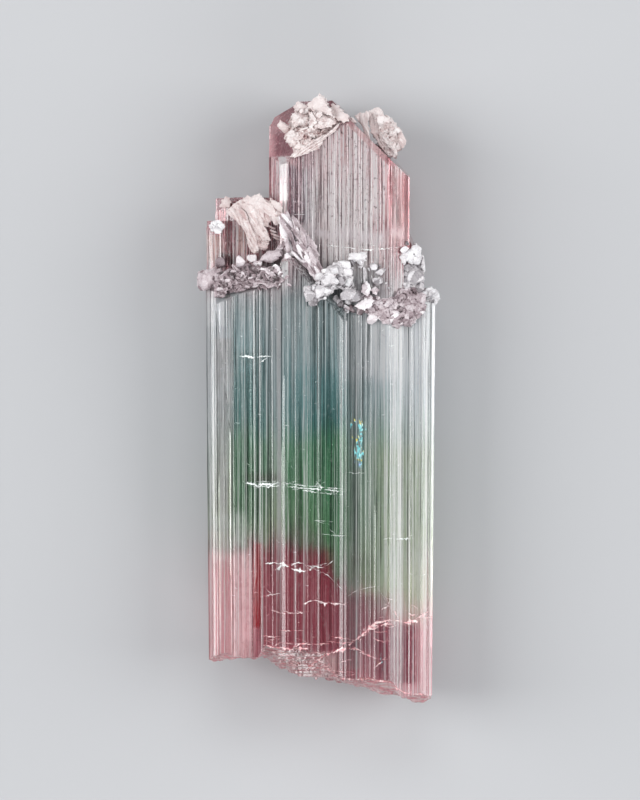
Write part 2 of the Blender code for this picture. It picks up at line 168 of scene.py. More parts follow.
def striae(length, height, rng):
    """Places along a face and how deep the surface lies there, at each height.

    Flats of uneven width alternate with short walls. Each wall goes up or down by its
    width times STRIA_SLOPE, and the running sum is folded back and forth between the
    face and STRIA_DEPTH. A third of the flats shift a little at some height, over
    STRIA_FADE, so that lines start and end along the crystal.
    """
    count = max(1, int(length / (STRIA_FLAT + STRIA_WALL) * 0.8))
    flats = rng.lognormal(math.log(STRIA_FLAT), 0.75, count)
    walls = rng.lognormal(math.log(STRIA_WALL), 0.55, count)
    steps = walls * STRIA_SLOPE * rng.choice((-1.0, 1.0), count)
    summed = np.cumsum(steps) + rng.uniform(0, STRIA_DEPTH)
    level = np.abs((summed % (2 * STRIA_DEPTH)) - STRIA_DEPTH)
    shift = rng.uniform(-0.06, 0.06, count) * (rng.random(count) < 0.35)
    start = rng.uniform(-50, 50, count)
    fade = 1 / (1 + np.exp(-(height[:, None] - start) / (STRIA_FADE / 4)))
    depth = np.clip(level + shift * fade, 0.0, STRIA_DEPTH)
    tilt = rng.normal(0, 0.05, count) * flats
    ends = np.cumsum(np.stack([flats, walls], axis=1).ravel())
    ends *= length / ends[-1]
    place = np.concatenate([[0.0], ends[:-1]])
    both = np.stack([depth, np.clip(depth + tilt, 0.0, STRIA_DEPTH)], axis=2)
    both = both.reshape(len(height), -1)
    both[:, 0] = 0.0
    return place, both


def ruled_prism(sides, corners, height, rng):
    """Points of a striated prism on a grid of (height, way round).

    The point at a way along a face is the face's line at that way, moved inwards by the
    stria's depth there.
    """
    rim = prism_corners(sides, corners)
    columns = []
    for start, end in zip(rim, np.roll(rim, -1, axis=0)):
        length = np.hypot(*(end - start))
        along = (end - start) / length
        inward = np.array([-along[1], along[0]])
        place, depth = striae(length, height, rng)
        if start[1] == end[1] == 0.0:
            depth = depth * 0.0
        flat = start + along * place[:, None]
        columns.append(flat[None] + inward * depth[..., None])
    xz = np.concatenate(columns, axis=1)
    y = np.broadcast_to(height[:, None], xz.shape[:2])
    return np.stack([xz[..., 0], y, xz[..., 1]], axis=2)


def tube_mesh(name, grid):
    """Closed mesh from a grid of (ring, way round) points, each end closed by a fan."""
    rings, around = grid.shape[:2]
    first = grid[0].mean(axis=0)
    last = grid[-1].mean(axis=0)
    points = np.vstack([grid.reshape(-1, 3), first, last]) * MM
    a = np.arange(rings - 1)[:, None] * around + np.arange(around)
    b = np.arange(rings - 1)[:, None] * around + np.roll(np.arange(around), -1)
    quads = np.stack([a, b, b + around, a + around], axis=2).reshape(-1, 4)
    rim = np.arange(around)
    beside = np.roll(rim, -1)
    top = (rings - 1) * around
    low_fan = np.stack([np.full(around, rings * around), beside, rim], axis=1)
    high_fan = np.stack([np.full(around, rings * around + 1), rim + top, beside + top], axis=1)
    mesh = bpy.data.meshes.new(name)
    mesh.from_pydata(points.tolist(), [], quads.tolist() + low_fan.tolist() + high_fan.tolist())
    return mesh


def new_object(name, mesh, collection=None):
    """An object with the mesh, at the origin, in the scene or in the collection."""
    made = bpy.data.objects.new(name, mesh)
    (collection or bpy.context.scene.collection).objects.link(made)
    return made


def cut_tip(mesh, faces):
    """Cuts the mesh at each plane, given by its outward normal and a point on it."""
    bm = bmesh.new()
    bm.from_mesh(mesh)
    for normal, point in faces:
        everything = bm.verts[:] + bm.edges[:] + bm.faces[:]
        bmesh.ops.bisect_plane(
            bm, geom=everything, plane_co=[v * MM for v in point], plane_no=normal, clear_outer=True
        )
        bmesh.ops.holes_fill(bm, edges=[e for e in bm.edges if e.is_boundary], sides=0)
    bmesh.ops.triangulate(bm, faces=bm.faces)
    bmesh.ops.recalc_face_normals(bm, faces=bm.faces)
    bm.to_mesh(mesh)
    bm.free()


growing = bpy.data.collections.new("growing")
bpy.context.scene.collection.children.link(growing)
heights = np.linspace(*BLANK_Y, RINGS)
blanks = []
for number, (name, (sides, corners, faces)) in enumerate(PRISMS.items()):
    grid = ruled_prism(sides, corners, heights, np.random.default_rng(40 + number))
    grid[..., 0] *= 1 + TAPER * (grid[..., 1] - SHOULDER_Y)
    mesh = tube_mesh(name, grid)
    cut_tip(mesh, faces)
    blanks.append(new_object(name, mesh, growing))

# The break at the base. (X, Y) of how far down the crystal reaches at its front, and
# further back, at BREAK_DEEP_Z, where it reaches lowest.
BREAK_FRONT = np.array(
    [(-22, -43.1), (-10.3, -42.6), (-9.2, -41.3), (0.8, -41.9), (1.9, -44.9), (3.9, -46.6),
     (6.0, -46.9), (8.0, -46.3), (12.2, -47.1), (13.7, -48.6), (22, -49.9)]
)
BREAK_DEEP = np.array(
    [(-22, -43.4), (-9.0, -43.0), (-7.1, -44.5), (-3.4, -45.7), (0, -46.7), (3.3, -47.2),
     (6.0, -47.7), (10.7, -49.2), (14.7, -50.0), (17.0, -50.2), (22, -49.6)]
)
BREAK_DEEP_Z = 11.0
BREAK_RISE = 2.6
LEDGE = 0.6
FRONT_Z = 18.0


def ripples(x, z, size, seed):
    """Smooth uneven ripples between about -1 and 1: a sum of turned sine waves.

    Each wave has its own direction and a length near size.
    """
    rng = np.random.default_rng(seed)
    total = np.zeros_like(x)
    for turn, stretch, phase in zip(
        rng.uniform(0, math.pi, 7), rng.uniform(0.7, 1.6, 7), rng.uniform(0, 6.28, 7)
    ):
        along = x * math.cos(turn) + z * math.sin(turn)
        total += np.sin(along * (6.283 / (size * stretch)) + phase + 0.9 * np.sin(z / size + phase))
    return total / 3.4


def break_height(x, z):
    """Y of the break: lowest at BREAK_DEEP_Z, risen by the square of the way from it.

    Ripples of three sizes are added, and the middle ones are terraced into ledges.
    """
    deep = np.interp(x, *BREAK_DEEP.T)
    before = np.clip((z - BREAK_DEEP_Z) / (FRONT_Z - BREAK_DEEP_Z), 0, 1)
    behind = np.clip((BREAK_DEEP_Z - z) / BREAK_DEEP_Z, 0, 1)
    level = deep + (np.interp(x, *BREAK_FRONT.T) - deep) * before**2 + BREAK_RISE * behind**2
    rough = 0.42 * ripples(x, z, 5.5, 3) + 0.2 * ripples(x, z, 1.7, 4)
    uneven = level + rough
    ledges = np.floor(uneven / LEDGE) * LEDGE + LEDGE / 2
    share = 0.12 + 0.45 * np.exp(-(((x + 2.5) / 5.5) ** 2))
    return (1 - share) * uneven + share * ledges + 0.05 * ripples(x, z, 0.6, 5)


def block_below(name, x, z, y, floor):
    """Closed block whose top is the surface y over the grid (x, z), down to floor."""
    rows, columns = x.shape
    top = np.stack([x, y, z], axis=2).reshape(-1, 3)
    low = top.copy()
    low[:, 1] = floor
    index = np.arange(rows * columns).reshape(rows, columns)
    quads = np.stack([index[:-1, :-1], index[:-1, 1:], index[1:, 1:], index[1:, :-1]], axis=2)
    quads = quads.reshape(-1, 4)
    edge = np.concatenate([index[0, :-1], index[:-1, -1], index[-1, :0:-1], index[:0:-1, 0]])
    beside = np.roll(edge, -1)
    count = rows * columns
    walls = np.stack([edge, edge + count, beside + count, beside], axis=1)
    mesh = bpy.data.meshes.new(name)
    faces = quads.tolist() + (quads[:, ::-1] + count).tolist() + walls.tolist()
    mesh.from_pydata((np.vstack([top, low]) * MM).tolist(), [], faces)
    bm = bmesh.new()
    bm.from_mesh(mesh)
    bmesh.ops.triangulate(bm, faces=bm.faces)
    bmesh.ops.recalc_face_normals(bm, faces=bm.faces)
    bm.to_mesh(mesh)
    bm.free()
    return mesh


grid_x, grid_z = np.meshgrid(np.linspace(-22, 22, 200), np.linspace(-4, 24, 120))
break_block = new_object(
    "break", block_below("break", grid_x, grid_z, break_height(grid_x, grid_z), -70.0)
)


def add_boolean(thing, operation, other):
    """Joins thing with other or cuts other out of it. other is an object or a collection."""
    modifier = thing.modifiers.new(operation.title(), "BOOLEAN")
    modifier.operation = operation
    modifier.solver = "MANIFOLD"
    if isinstance(other, bpy.types.Collection):
        modifier.operand_type = "COLLECTION"
        modifier.collection = other
    else:
        modifier.object = other


def finished(thing, name):
    """A plain object at the origin with what thing's modifiers make of it."""
    bpy.context.view_layer.update()
    graph = bpy.context.evaluated_depsgraph_get()
    mesh = bpy.data.meshes.new_from_object(thing.evaluated_get(graph))
    mesh.name = name
    return new_object(name, mesh)


first = blanks[0]
growing.objects.unlink(first)
bpy.context.scene.collection.objects.link(first)
add_boolean(first, "UNION", growing)
add_boolean(first, "DIFFERENCE", break_block)
crystal = finished(first, "tourmaline_growth")
for thing in blanks + [break_block]:
    bpy.data.objects.remove(thing)


def linear(hex_colour):
    """An sRGB hex colour as linear red, green, blue and alpha."""
    parts = np.array([int(hex_colour[i : i + 2], 16) for i in (1, 3, 5)]) / 255
    parts = np.where(parts <= 0.04045, parts / 12.92, ((parts + 0.055) / 1.055) ** 2.4)
    return (*parts, 1.0)


def add_node(tree, kind, *values, give="", **settings):
    """Adds a node with its settings, fills its inputs in order and gives back an output.

    A value that is another node's output is linked, any other is set, and None leaves an
    input as it is. The output is the first one in use, or the one that give names.
    """
    node = tree.nodes.new("ShaderNode" + kind)
    for name, value in settings.items():
        setattr(node, name, value)
    for socket, value in zip([one for one in node.inputs if one.enabled], values):
        if isinstance(value, bpy.types.NodeSocket):
            tree.links.new(value, socket)
        elif value is not None:
            socket.default_value = value
    return next(one for one in node.outputs if one.enabled and give in ("", one.name))


SMOOTH = {"interpolation_type": "SMOOTHSTEP"}  # a step that eases in and out
COLOURS = {"data_type": "RGBA"}  # a mix of colours


def new_material(name, values):
    """A material with its node tree and its shader, whose sockets have the values."""
    made = bpy.data.materials.new(name)
    made.use_nodes = True
    shader = made.node_tree.nodes["Principled BSDF"]
    for socket, value in values.items():
        shader.inputs[socket].default_value = value
    return made, made.node_tree, shader


# Elbaite: clear boron silicate, IOR about 1.63, zoned along its length as it grew.
# The faces are glossy. Its colours are deep in the middle of the growth and pale at the
# edges, where the crystal is thin.
STONE_MIDDLE = [
    (49.0, "#e8b4ba"), (43.0, "#eecacf"), (36.0, "#ead2d7"), (28.0, "#e0d4d7"), (22.0, "#d2cbcd"),
    (15.0, "#9fb3b5"), (5.0, "#78a6a8"), (-4.0, "#529893"), (-8.0, "#4d9a6c"), (-19.0, "#5e9865"),
    (-22.6, "#73876a"), (-24.3, "#7a5c52"), (-25.6, "#943c4b"), (-29.0, "#b25c69"),
    (-40.0, "#b05b68"), (-50.0, "#bf6c7a"),
]
STONE_EDGE = [
    (49.0, "#f6c4c8"), (38.0, "#f3a9b0"), (22.0, "#eeb6bc"), (15.0, "#ececf0"), (0.0, "#e4ebee"),
    (-8.0, "#d2dfd5"), (-20.0, "#cfd4b8"), (-27.0, "#eeaab1"), (-50.0, "#e9a0ab"),
]
# How much of the edge's colour shows at a place across the growth.
PALENESS = [
    (-19.0, 0.9), (-15.6, 0.8), (-14.2, 0.1), (-9.5, 0.12), (-8.3, 0.55), (-6.6, 0.55),
    (-6.0, 0.12), (3.5, 0.0), (6.0, 0.5), (12.0, 0.66), (15.0, 0.92), (19.2, 1.0),
]
# The strongest lines along the crystal, painted highlight and painted shade on the striae: 0 is
# dark and 1 is white.
GLINT_AND_SHADE_LEFT = [
    (-19.2, 0.62), (-18.3, 0.74), (-17.5, 0.6), (-17.3, 0.12), (-17.1, 0.66), (-16.0, 0.68),
    (-14.9, 0.6), (-14.7, 0.28), (-13.95, 0.34), (-13.83, 0.92), (-13.6, 0.3), (-12.6, 0.42),
    (-12.4, 0.72), (-12.2, 0.36), (-11.2, 0.33), (-11.03, 0.97), (-10.85, 0.28), (-10.3, 0.4),
    (-10.12, 1.0), (-9.9, 0.33), (-9.0, 0.42), (-8.3, 0.4), (-8.0, 0.66), (-7.4, 0.5),
    (-6.95, 0.62), (-6.75, 1.0), (-6.45, 0.3), (-5.6, 0.46),
]
GLINT_AND_SHADE_RIGHT = [
    (-5.6, 0.46), (-3.1, 0.44), (-2.9, 0.66), (-2.7, 0.45), (-0.5, 0.46), (-0.2, 0.3), (2.2, 0.32),
    (2.4, 0.55), (2.6, 0.26), (4.02, 0.18), (4.12, 0.98), (4.26, 0.98), (4.36, 0.35), (6.0, 0.46),
    (6.15, 0.78), (6.55, 0.74), (6.65, 0.42), (8.2, 0.54), (10.0, 0.5), (10.12, 0.86),
    (10.28, 0.45), (11.3, 0.74), (11.5, 0.46), (12.8, 0.8), (13.0, 0.5), (13.55, 0.92),
    (13.75, 0.52), (18.05, 0.6), (18.25, 0.06), (18.55, 0.12), (18.75, 0.9), (19.3, 0.85),
]
GLINT_AND_SHADE_TALL = [
    (-8.6, 0.44), (-7.2, 0.52), (-6.85, 0.44), (-6.7, 0.98), (-5.45, 0.98), (-5.3, 0.3),
    (-5.0, 0.62), (-4.75, 0.45), (-4.5, 0.08), (-3.75, 0.12), (-3.5, 0.4), (-2.9, 0.22),
    (-1.8, 0.3), (-1.2, 0.55), (-0.9, 0.36), (1.3, 0.42), (1.9, 0.5), (2.05, 0.9), (2.75, 0.86),
    (2.85, 0.1), (3.05, 0.6), (3.8, 0.36), (4.7, 0.4), (4.85, 1.0), (5.1, 0.6), (7.2, 0.6),
    (8.4, 0.66), (10.0, 0.6), (10.2, 0.3), (10.7, 0.7), (11.6, 0.2), (11.8, 0.46),
]
BAND_LOW = -52.0
BAND_HIGH = 52.0

tourmaline, tree, shader = new_material(
    "elbaite tourmaline", {"Transmission Weight": 0.58, "IOR": 1.63}
)
place = add_node(tree, "TexCoord", give="Object")
place = add_node(tree, "Mapping", place, None, None, (1 / MM, 1 / MM, 1 / MM))
across = add_node(tree, "SeparateXYZ", place, give="X")
length = add_node(tree, "SeparateXYZ", place, give="Y")


def banded(tree, value, bands, low, high):
    """Colours in bands along value. The colour runs straight from each (value, colour) stop
    to the next, between low and high. A colour that is a number is a grey.
    """
    colours = add_node(tree, "ValToRGB", add_node(tree, "MapRange", value, low, high))
    stops = colours.node.color_ramp.elements
    stops.remove(stops[1])
    for index, (at, colour) in enumerate(sorted(bands)):
        share = (at - low) / (high - low)
        stop = stops[0] if index == 0 else stops.new(share)
        stop.position = share
        stop.color = linear(colour) if isinstance(colour, str) else (colour, colour, colour, 1)
    return colours


def noise(tree, place, waves, detail=2.0, roughness=0.5):
    """Noise with this many waves to the millimetre along X, Y and Z."""
    spot = add_node(tree, "Mapping", place, None, None, waves)
    return add_node(tree, "TexNoise", spot, 1.0, detail, roughness)


def stirred(tree, base, swing, depth):
    """The base moved up and down by a noise: base + depth * (swing - 0.5)."""
    centred = add_node(tree, "Math", swing, 0.5, operation="SUBTRACT")
    return add_node(tree, "Math", centred, depth, base, operation="MULTIPLY_ADD")


def eased(tree, base, operation, *steps):
    """The base combined with one smooth step after another.

    Each step is the value that it follows, where it starts and ends along that value, and
    its size at those two places, which is 0 and 1 unless it is given.
    """
    for step in steps:
        ease = add_node(tree, "MapRange", *step, **SMOOTH)
        base = add_node(tree, "Math", base, ease, operation=operation)
    return base


def within(left, right, low, high, soft):
    """1 inside a box in X and Y, falling to 0 over soft on either side of its edges.

    It is the product of four smooth steps, one for each edge.
    """
    return eased(
        tree, add_node(tree, "MapRange", across, left - soft, left + soft, **SMOOTH), "MULTIPLY",
        (across, right + soft, right - soft),
        (length, low - soft, low + soft),
        (length, high + soft, high - soft),
    )


# The zones end lower towards the right, and their ends are uneven.
drop = add_node(tree, "MapRange", length, -5.0, -22.0, **SMOOTH)
drop = eased(tree, drop, "MULTIPLY", (across, -4.5, 12.5))
height = add_node(tree, "Math", drop, 12.0, length, operation="MULTIPLY_ADD")
height = stirred(tree, height, noise(tree, place, (0.35, 0.05, 0.35), 3.0), 8.0)
height = stirred(tree, height, noise(tree, place, (1.3, 0.35, 1.3), 3.0, 0.65), 5.0)
middle = banded(tree, height, STONE_MIDDLE, BAND_LOW, BAND_HIGH)
edge = banded(tree, height, STONE_EDGE, BAND_LOW, BAND_HIGH)

# Above the shoulder the tall prism stands nearly alone, and it is pale at its own two
# edges.
above = add_node(tree, "MapRange", length, 16.0, 21.0, **SMOOTH)
off_tall = add_node(tree, "Math", across, 3.0, operation="SUBTRACT")
off_tall = add_node(tree, "Math", off_tall, operation="ABSOLUTE")
pale_tall = add_node(tree, "MapRange", off_tall, 4.5, 10.5, **SMOOTH)
pale_body = banded(tree, across, PALENESS, -20.0, 20.0)
rimward = add_node(tree, "Mix", above, pale_body, pale_tall, **COLOURS)
zone = add_node(tree, "Mix", rimward, middle, edge, **COLOURS)

# Deeper places: red along the tip's sloping edge and in a seam at the base, rose on the
# facet left of the tip, maroon low in the middle. Above the great crack, dark olive is painted
# shade.
# off_slope is how far a place is above the tip's sloping face, by that face's normal.
off_slope = add_node(tree, "Math", length, 0.71, -36.37, operation="MULTIPLY_ADD")
off_slope = add_node(tree, "Math", across, 0.70, off_slope, operation="MULTIPLY_ADD")
tip_rim = eased(tree, within(1.5, 15.5, 38.6, 52.0, 0.4), "MULTIPLY", (off_slope, -1.15, -0.75))
torn = noise(tree, place, (1.6, 0.5, 1.6), 3.0, 0.6)
uneven = add_node(tree, "MapRange", torn, 0.3, 0.55, 0.6, 1.0, **SMOOTH)


def tinted(base, share, amount, colour):
    """The base changed to the colour by share times amount, thinner where it is torn."""
    share = add_node(tree, "Math", share, uneven, operation="MULTIPLY")
    share = add_node(tree, "Math", share, amount, operation="MULTIPLY")
    return add_node(tree, "Mix", share, base, linear(colour), **COLOURS)


# Left, right, low and high edge of each tint, its softness, its strength and its colour.
TINTS = [
    (12.0, 15.2, 36.3, 41.0, 0.5, 0.7, "#c2485a"),
    (-7.6, -3.5, 40.2, 44.8, 0.7, 0.95, "#8a3448"),
    (-8.6, -2.0, 44.2, 50.0, 0.5, 0.6, "#b98a90"),
    (-6.8, -3.0, 45.6, 49.4, 0.5, 0.75, "#8e4a53"),
    # Painted highlight: a white strip where the tall prism's corner face catches the light.
    (-6.9, -5.7, 28.0, 40.2, 0.12, 0.8, "#f6f1f3"),
    (-5.5, -3.9, 29.5, 38.8, 0.4, 0.6, "#6c6076"),
    (-3.9, -1.6, 29.0, 38.0, 0.7, 0.35, "#9a96aa"),
    (-2.4, 1.2, 30.0, 35.0, 1.0, 0.3, "#8fa5a2"),
    (3.3, 4.5, 38.8, 45.6, 0.2, 0.75, "#b04e5b"),
    (6.1, 6.8, 41.0, 45.0, 0.15, 0.7, "#b04e5b"),
    (-1.0, 11.0, 36.0, 46.0, 1.5, 0.65, "#ffe6e5"),
    (-1.0, 11.4, 21.0, 36.0, 1.5, 0.75, "#fff0ee"),
    (8.6, 11.6, 27.0, 39.0, 0.9, 0.35, "#dd8f95"),
    (11.7, 15.2, 24.0, 38.6, 0.25, 1.0, "#b8454f"),
    (8.0, 13.0, 21.5, 30.0, 1.2, 0.4, "#c58d94"),
    (12.0, 15.0, 21.5, 27.5, 0.5, 0.6, "#c06c78"),
    (12.2, 13.0, 29.8, 35.4, 0.3, 0.5, "#8a4650"),
    (-19.5, -15.5, -22.0, 12.0, 0.4, 0.5, "#7f888e"),
    (-14.5, -9.0, -20.0, 8.0, 1.0, 0.35, "#3c5748"),
    (3.5, 19.0, 3.0, 15.0, 1.5, 0.6, "#eef3f7"),
    (7.0, 13.0, 4.0, 13.0, 1.5, 0.8, "#f6f9fb"),
    (13.0, 19.5, 6.0, 14.0, 1.5, 0.5, "#f6f9fb"),
    (9.0, 19.5, -25.0, -8.0, 2.0, 0.55, "#b3c096"),
    (-17.6, -14.6, -28.0, 10.0, 0.3, 0.4, "#a5968e"),
    (5.7, 7.2, -11.6, -3.6, 0.3, 0.6, "#a9e3e2"),
    (-5.5, 3.5, 5.0, 16.0, 1.5, 0.22, "#dae6e8"),
    # Painted highlight: the front prisms' tip faces, white.
    (-8.2, -5.3, 19.8, 22.6, 0.3, 0.85, "#f8fafb"),
    # Painted light: lifts the shade right of the step where the front prism ends.
    (4.7, 6.6, -45.0, 14.0, 0.3, 0.35, "#e3e9e6"),
    (-19.5, -12.0, -28.5, -19.0, 1.2, 0.55, "#dfe6de"),
    (4.5, 9.5, -31.0, -26.0, 1.0, 0.3, "#54584a"),
    (-19.5, -11.4, -52.0, -25.6, 1.2, 0.85, "#ffcfd1"),
    (-17.6, -15.4, -44.0, -27.0, 0.5, 0.5, "#cc6672"),
    (-16.5, -6.5, 23.0, 34.0, 0.6, 0.55, "#bb686f"),
    (-19.0, -16.3, 22.5, 27.2, 0.3, 0.75, "#ffd6ca"),
    (-15.8, -14.0, 24.4, 30.4, 0.2, 0.5, "#84404f"),
    (-13.8, -12.3, 24.2, 28.8, 0.3, 0.8, "#ffd6ca"),
    (-9.7, -6.9, 24.6, 29.5, 0.3, 0.6, "#84464c"),
    # Painted shadow: a near-black hollow above the left end of the collar.
    (-16.7, -14.0, 22.4, 24.2, 0.3, 0.8, "#3a2026"),
    (-11.0, -9.5, -38.0, -24.0, 0.35, 1.0, "#b0101c"),
    (1.0, 6.0, -45.0, -40.5, 0.7, 0.45, "#9a4258"),
    (6.6, 12.5, -46.0, -39.5, 0.7, 0.35, "#9c5064"),
    (-3.5, 4.0, -39.0, -34.5, 1.3, 0.35, "#943c52"),
    (-10.0, 2.0, -41.0, -25.0, 1.0, 0.55, "#a02238"),
    (4.4, 11.6, -42.0, -32.6, 1.0, 0.55, "#8c4658"),
    (9.6, 16.2, -47.5, -37.5, 0.8, 0.9, "#8c3248"),
    # Painted shade: dark olive above the great crack.
    (-12.6, -6.2, -13.9, -12.5, 0.9, 0.65, "#4d4a34"),
    (-11.7, -11.1, -11.0, -9.4, 0.6, 0.5, "#454733"),
    (-9.5, 3.0, -48.0, -42.2, 0.7, 0.7, "#efccca"),
    (2.0, 18.0, -52.0, -48.0, 1.2, 0.6, "#f0c6cb"),
]
zone = tinted(zone, tip_rim, 1.0, "#8e1c34")
for *box, amount, colour in TINTS:
    zone = tinted(zone, within(*box), amount, colour)

# The break is painted paler than the faces, pink with pale layers: partly the break's own colour
# and partly painted light, as it faces away from the main lights. The ends have no lines.
facing = add_node(tree, "SeparateXYZ", add_node(tree, "TexCoord", give="Normal"), give="Y")
at_break = add_node(tree, "MapRange", facing, -0.2, -0.55, **SMOOTH)
at_break = eased(tree, at_break, "MULTIPLY", (length, -38.0, -41.0, 0.0, 0.92))
at_end = add_node(tree, "Math", facing, operation="ABSOLUTE")
at_end = add_node(tree, "MapRange", at_end, 0.62, 0.8, **SMOOTH)
layers = noise(tree, place, (0.4, 3.0, 0.9), 3.0)
layers = add_node(tree, "MapRange", layers, 0.3, 0.7, **SMOOTH)
broken = add_node(tree, "Mix", layers, linear("#ea8791"), linear("#fde6e4"), **COLOURS)
zone = add_node(tree, "Mix", at_break, zone, broken, **COLOURS)

# Lines along the whole length, which follow the striae: where they are pale they are painted
# highlights, the lights' reflections off the striae, and where they are dark they are painted
# shade. The strongest have their own places, which follow the taper. Each is 0 where the stone
# keeps its colour.
level = add_node(tree, "Math", length, TAPER, 1 - SHOULDER_Y * TAPER, operation="MULTIPLY_ADD")
along = add_node(tree, "Math", across, level, operation="DIVIDE")
on_right = add_node(tree, "MapRange", along, -5.62, -5.58, **SMOOTH)
glints_and_shade_left = banded(tree, along, GLINT_AND_SHADE_LEFT, -20.0, -5.5)
glints_and_shade_right = banded(tree, along, GLINT_AND_SHADE_RIGHT, -5.7, 20.0)
glints_and_shade_tall = banded(tree, along, GLINT_AND_SHADE_TALL, -9.0, 12.0)
glints_and_shade = add_node(tree, "Mix", on_right, glints_and_shade_left, glints_and_shade_right, **COLOURS)
glints_and_shade = add_node(tree, "Mix", above, glints_and_shade, glints_and_shade_tall, **COLOURS)
glints_and_shade = add_node(tree, "Math", glints_and_shade, 0.5, operation="SUBTRACT")
fading = noise(tree, place, (3.0, 0.09, 3.0))
low_left = add_node(tree, "MapRange", length, -19.0, -25.0, **SMOOTH)
low_left = eased(tree, low_left, "MULTIPLY", (along, 0.0, -3.0))
low_right = within(7.0, 17.0, -52.0, -36.0, 1.5)
low_right = add_node(tree, "Math", low_right, within(11.5, 15.5, 22.0, 39.0, 0.5), operation="ADD")
glints_and_shade = eased(
    tree, glints_and_shade, "MULTIPLY",
    (fading, 0.3, 0.62, 0.35, 1.15),
    (low_left, 0.0, 1.0, 1.0, 0.25),
    (low_right, 0.0, 1.0, 1.0, 0.35),
)

# The fine lines between them are 0.2 mm apart, painted highlight and shade as well. On the tall
# prism they break into dashes.
thin_glints_and_shade = stirred(tree, 0.0, noise(tree, place, (4.6, 0.012, 4.6), 3.0, 0.8), 4.2)
thin_glints_and_shade = eased(tree, thin_glints_and_shade, "MULTIPLY", (above, 0.0, 1.0, 1.0, 1.2))
dashes = stirred(tree, 0.0, noise(tree, place, (5.0, 0.12, 5.0), 2.0, 0.7), 1.0)
dashes = eased(tree, dashes, "MULTIPLY", (above, 0.0, 1.0, 0.8, 3.6))
thin_glints_and_shade = add_node(tree, "Math", thin_glints_and_shade, dashes, operation="ADD")
thin_glints_and_shade = eased(tree, thin_glints_and_shade, "MULTIPLY", (length, -24.0, -30.0, 1.0, 0.6))
glints_and_shade = add_node(tree, "Math", glints_and_shade, thin_glints_and_shade, operation="ADD")
glints_and_shade = eased(
    tree, glints_and_shade, "ADD", (above, 0.0, 1.0, 0.0, 0.05), (length, -24.0, -30.0, 0.0, 0.05)
)
on_facet = add_node(tree, "Math", within(-9.0, -3.5, 40.3, 51.0, 0.3), tip_rim, operation="ADD")
glints_and_shade = eased(
    tree, glints_and_shade, "MULTIPLY", (at_end, 0.0, 1.0, 1.0, 0.0), (on_facet, 0.0, 1.0, 1.0, 0.15)
)
# Painted highlight and shade: pale lines take the colour towards white, and dark ones multiply it
# by a shade colour.
highlight_share = add_node(tree, "MapRange", above, 0.0, 1.0, 0.76, 0.9, **SMOOTH)
highlit_zone = add_node(tree, "Mix", highlight_share, zone, linear("#fdfbfb"), **COLOURS)
in_red = add_node(tree, "MapRange", length, -23.0, -28.0, **SMOOTH)
shadow = add_node(tree, "Mix", above, linear("#34423f"), linear("#73666a"), **COLOURS)
shadow = add_node(tree, "Mix", in_red, shadow, linear("#743a45"), **COLOURS)
darkness = add_node(tree, "MapRange", glints_and_shade, 0.0, -0.5, 0.0, 0.9, **SMOOTH)
dark = add_node(tree, "Mix", darkness, zone, shadow, **COLOURS, blend_type="MULTIPLY")
brightness = add_node(tree, "MapRange", glints_and_shade, 0.08, 0.42, 0.0, 0.97, **SMOOTH)
streaked = add_node(tree, "Mix", brightness, dark, highlit_zone, **COLOURS)

# Etch pits and dust: dense on the tall prism, sparse below. A veil crosses the foot of it,
# and its right edge blushes.
specks = noise(tree, place, (2.3, 1.3, 2.3), 4.0, 0.8)
pitted = add_node(tree, "MapRange", length, 12.0, 24.0, 0.25, 1.0, **SMOOTH)
pitted = eased(tree, pitted, "MULTIPLY", (at_end, 0.0, 1.0, 1.0, 0.1))
light_speck = eased(tree, pitted, "MULTIPLY", (specks, 0.56, 0.66, 0.0, 0.6))
dark_speck = eased(tree, pitted, "MULTIPLY", (specks, 0.44, 0.34, 0.0, 0.75))
sway = noise(tree, place, (0.22, 0.1, 0.22))
sway = add_node(tree, "Math", sway, 6.0, length, operation="MULTIPLY_ADD")
off_veil = add_node(tree, "Math", sway, 30.2, operation="SUBTRACT")
off_veil = add_node(tree, "Math", off_veil, operation="ABSOLUTE")
veil = eased(
    tree, within(-5.5, 14.4, 20.0, 34.0, 0.6), "MULTIPLY",
    (off_veil, 1.7, 0.2),
    (torn, 0.35, 0.6, 0.25, 0.95),
)
blush = add_node(tree, "Math", within(11.4, 15.5, 25.0, 37.6, 1.4), 0.55, operation="MULTIPLY")
for share, colour, blend in (
    (light_speck, "#fbf8f8", "MIX"),
    (dark_speck, "#6f6065", "MULTIPLY"),
    (veil, "#f3eaec", "MIX"),
    (blush, "#ee9a9e", "MULTIPLY"),
):
    streaked = add_node(
        tree, "Mix", share, streaked, linear(colour), **COLOURS, blend_type=blend
    )
dullness = add_node(tree, "MapRange", specks, 0.5, 0.68, 0.03, 0.16, **SMOOTH)
tree.links.new(dullness, shader.inputs["Roughness"])
tree.links.new(streaked, shader.inputs["Base Color"])
crystal.data.materials.clear()
crystal.data.materials.append(tourmaline)
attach(crystal, "root")
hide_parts("tourmaline_crystal")

# ---------------------------------------------------------------------------
# The cracks and inclusions. Healed fractures run across the crystal and come out at its
# faces as thin, ragged white films. Tiny flakes of the same kind lie all over it.
# ---------------------------------------------------------------------------

bpy.context.view_layer.update()  # the crystal has to be up to date for the drops below


def face_height(x, y):
    """Z of the crystal's front at each (x, y), by a line dropped onto it from above."""
    drops = [crystal.ray_cast((u * MM, v * MM, 2 * FRONT_Z * MM), (0, 0, -1)) for u, v in zip(x, y)]
    return np.array([spot.z / MM if hit else FRONT_Z - 2 for hit, spot, _, _ in drops])


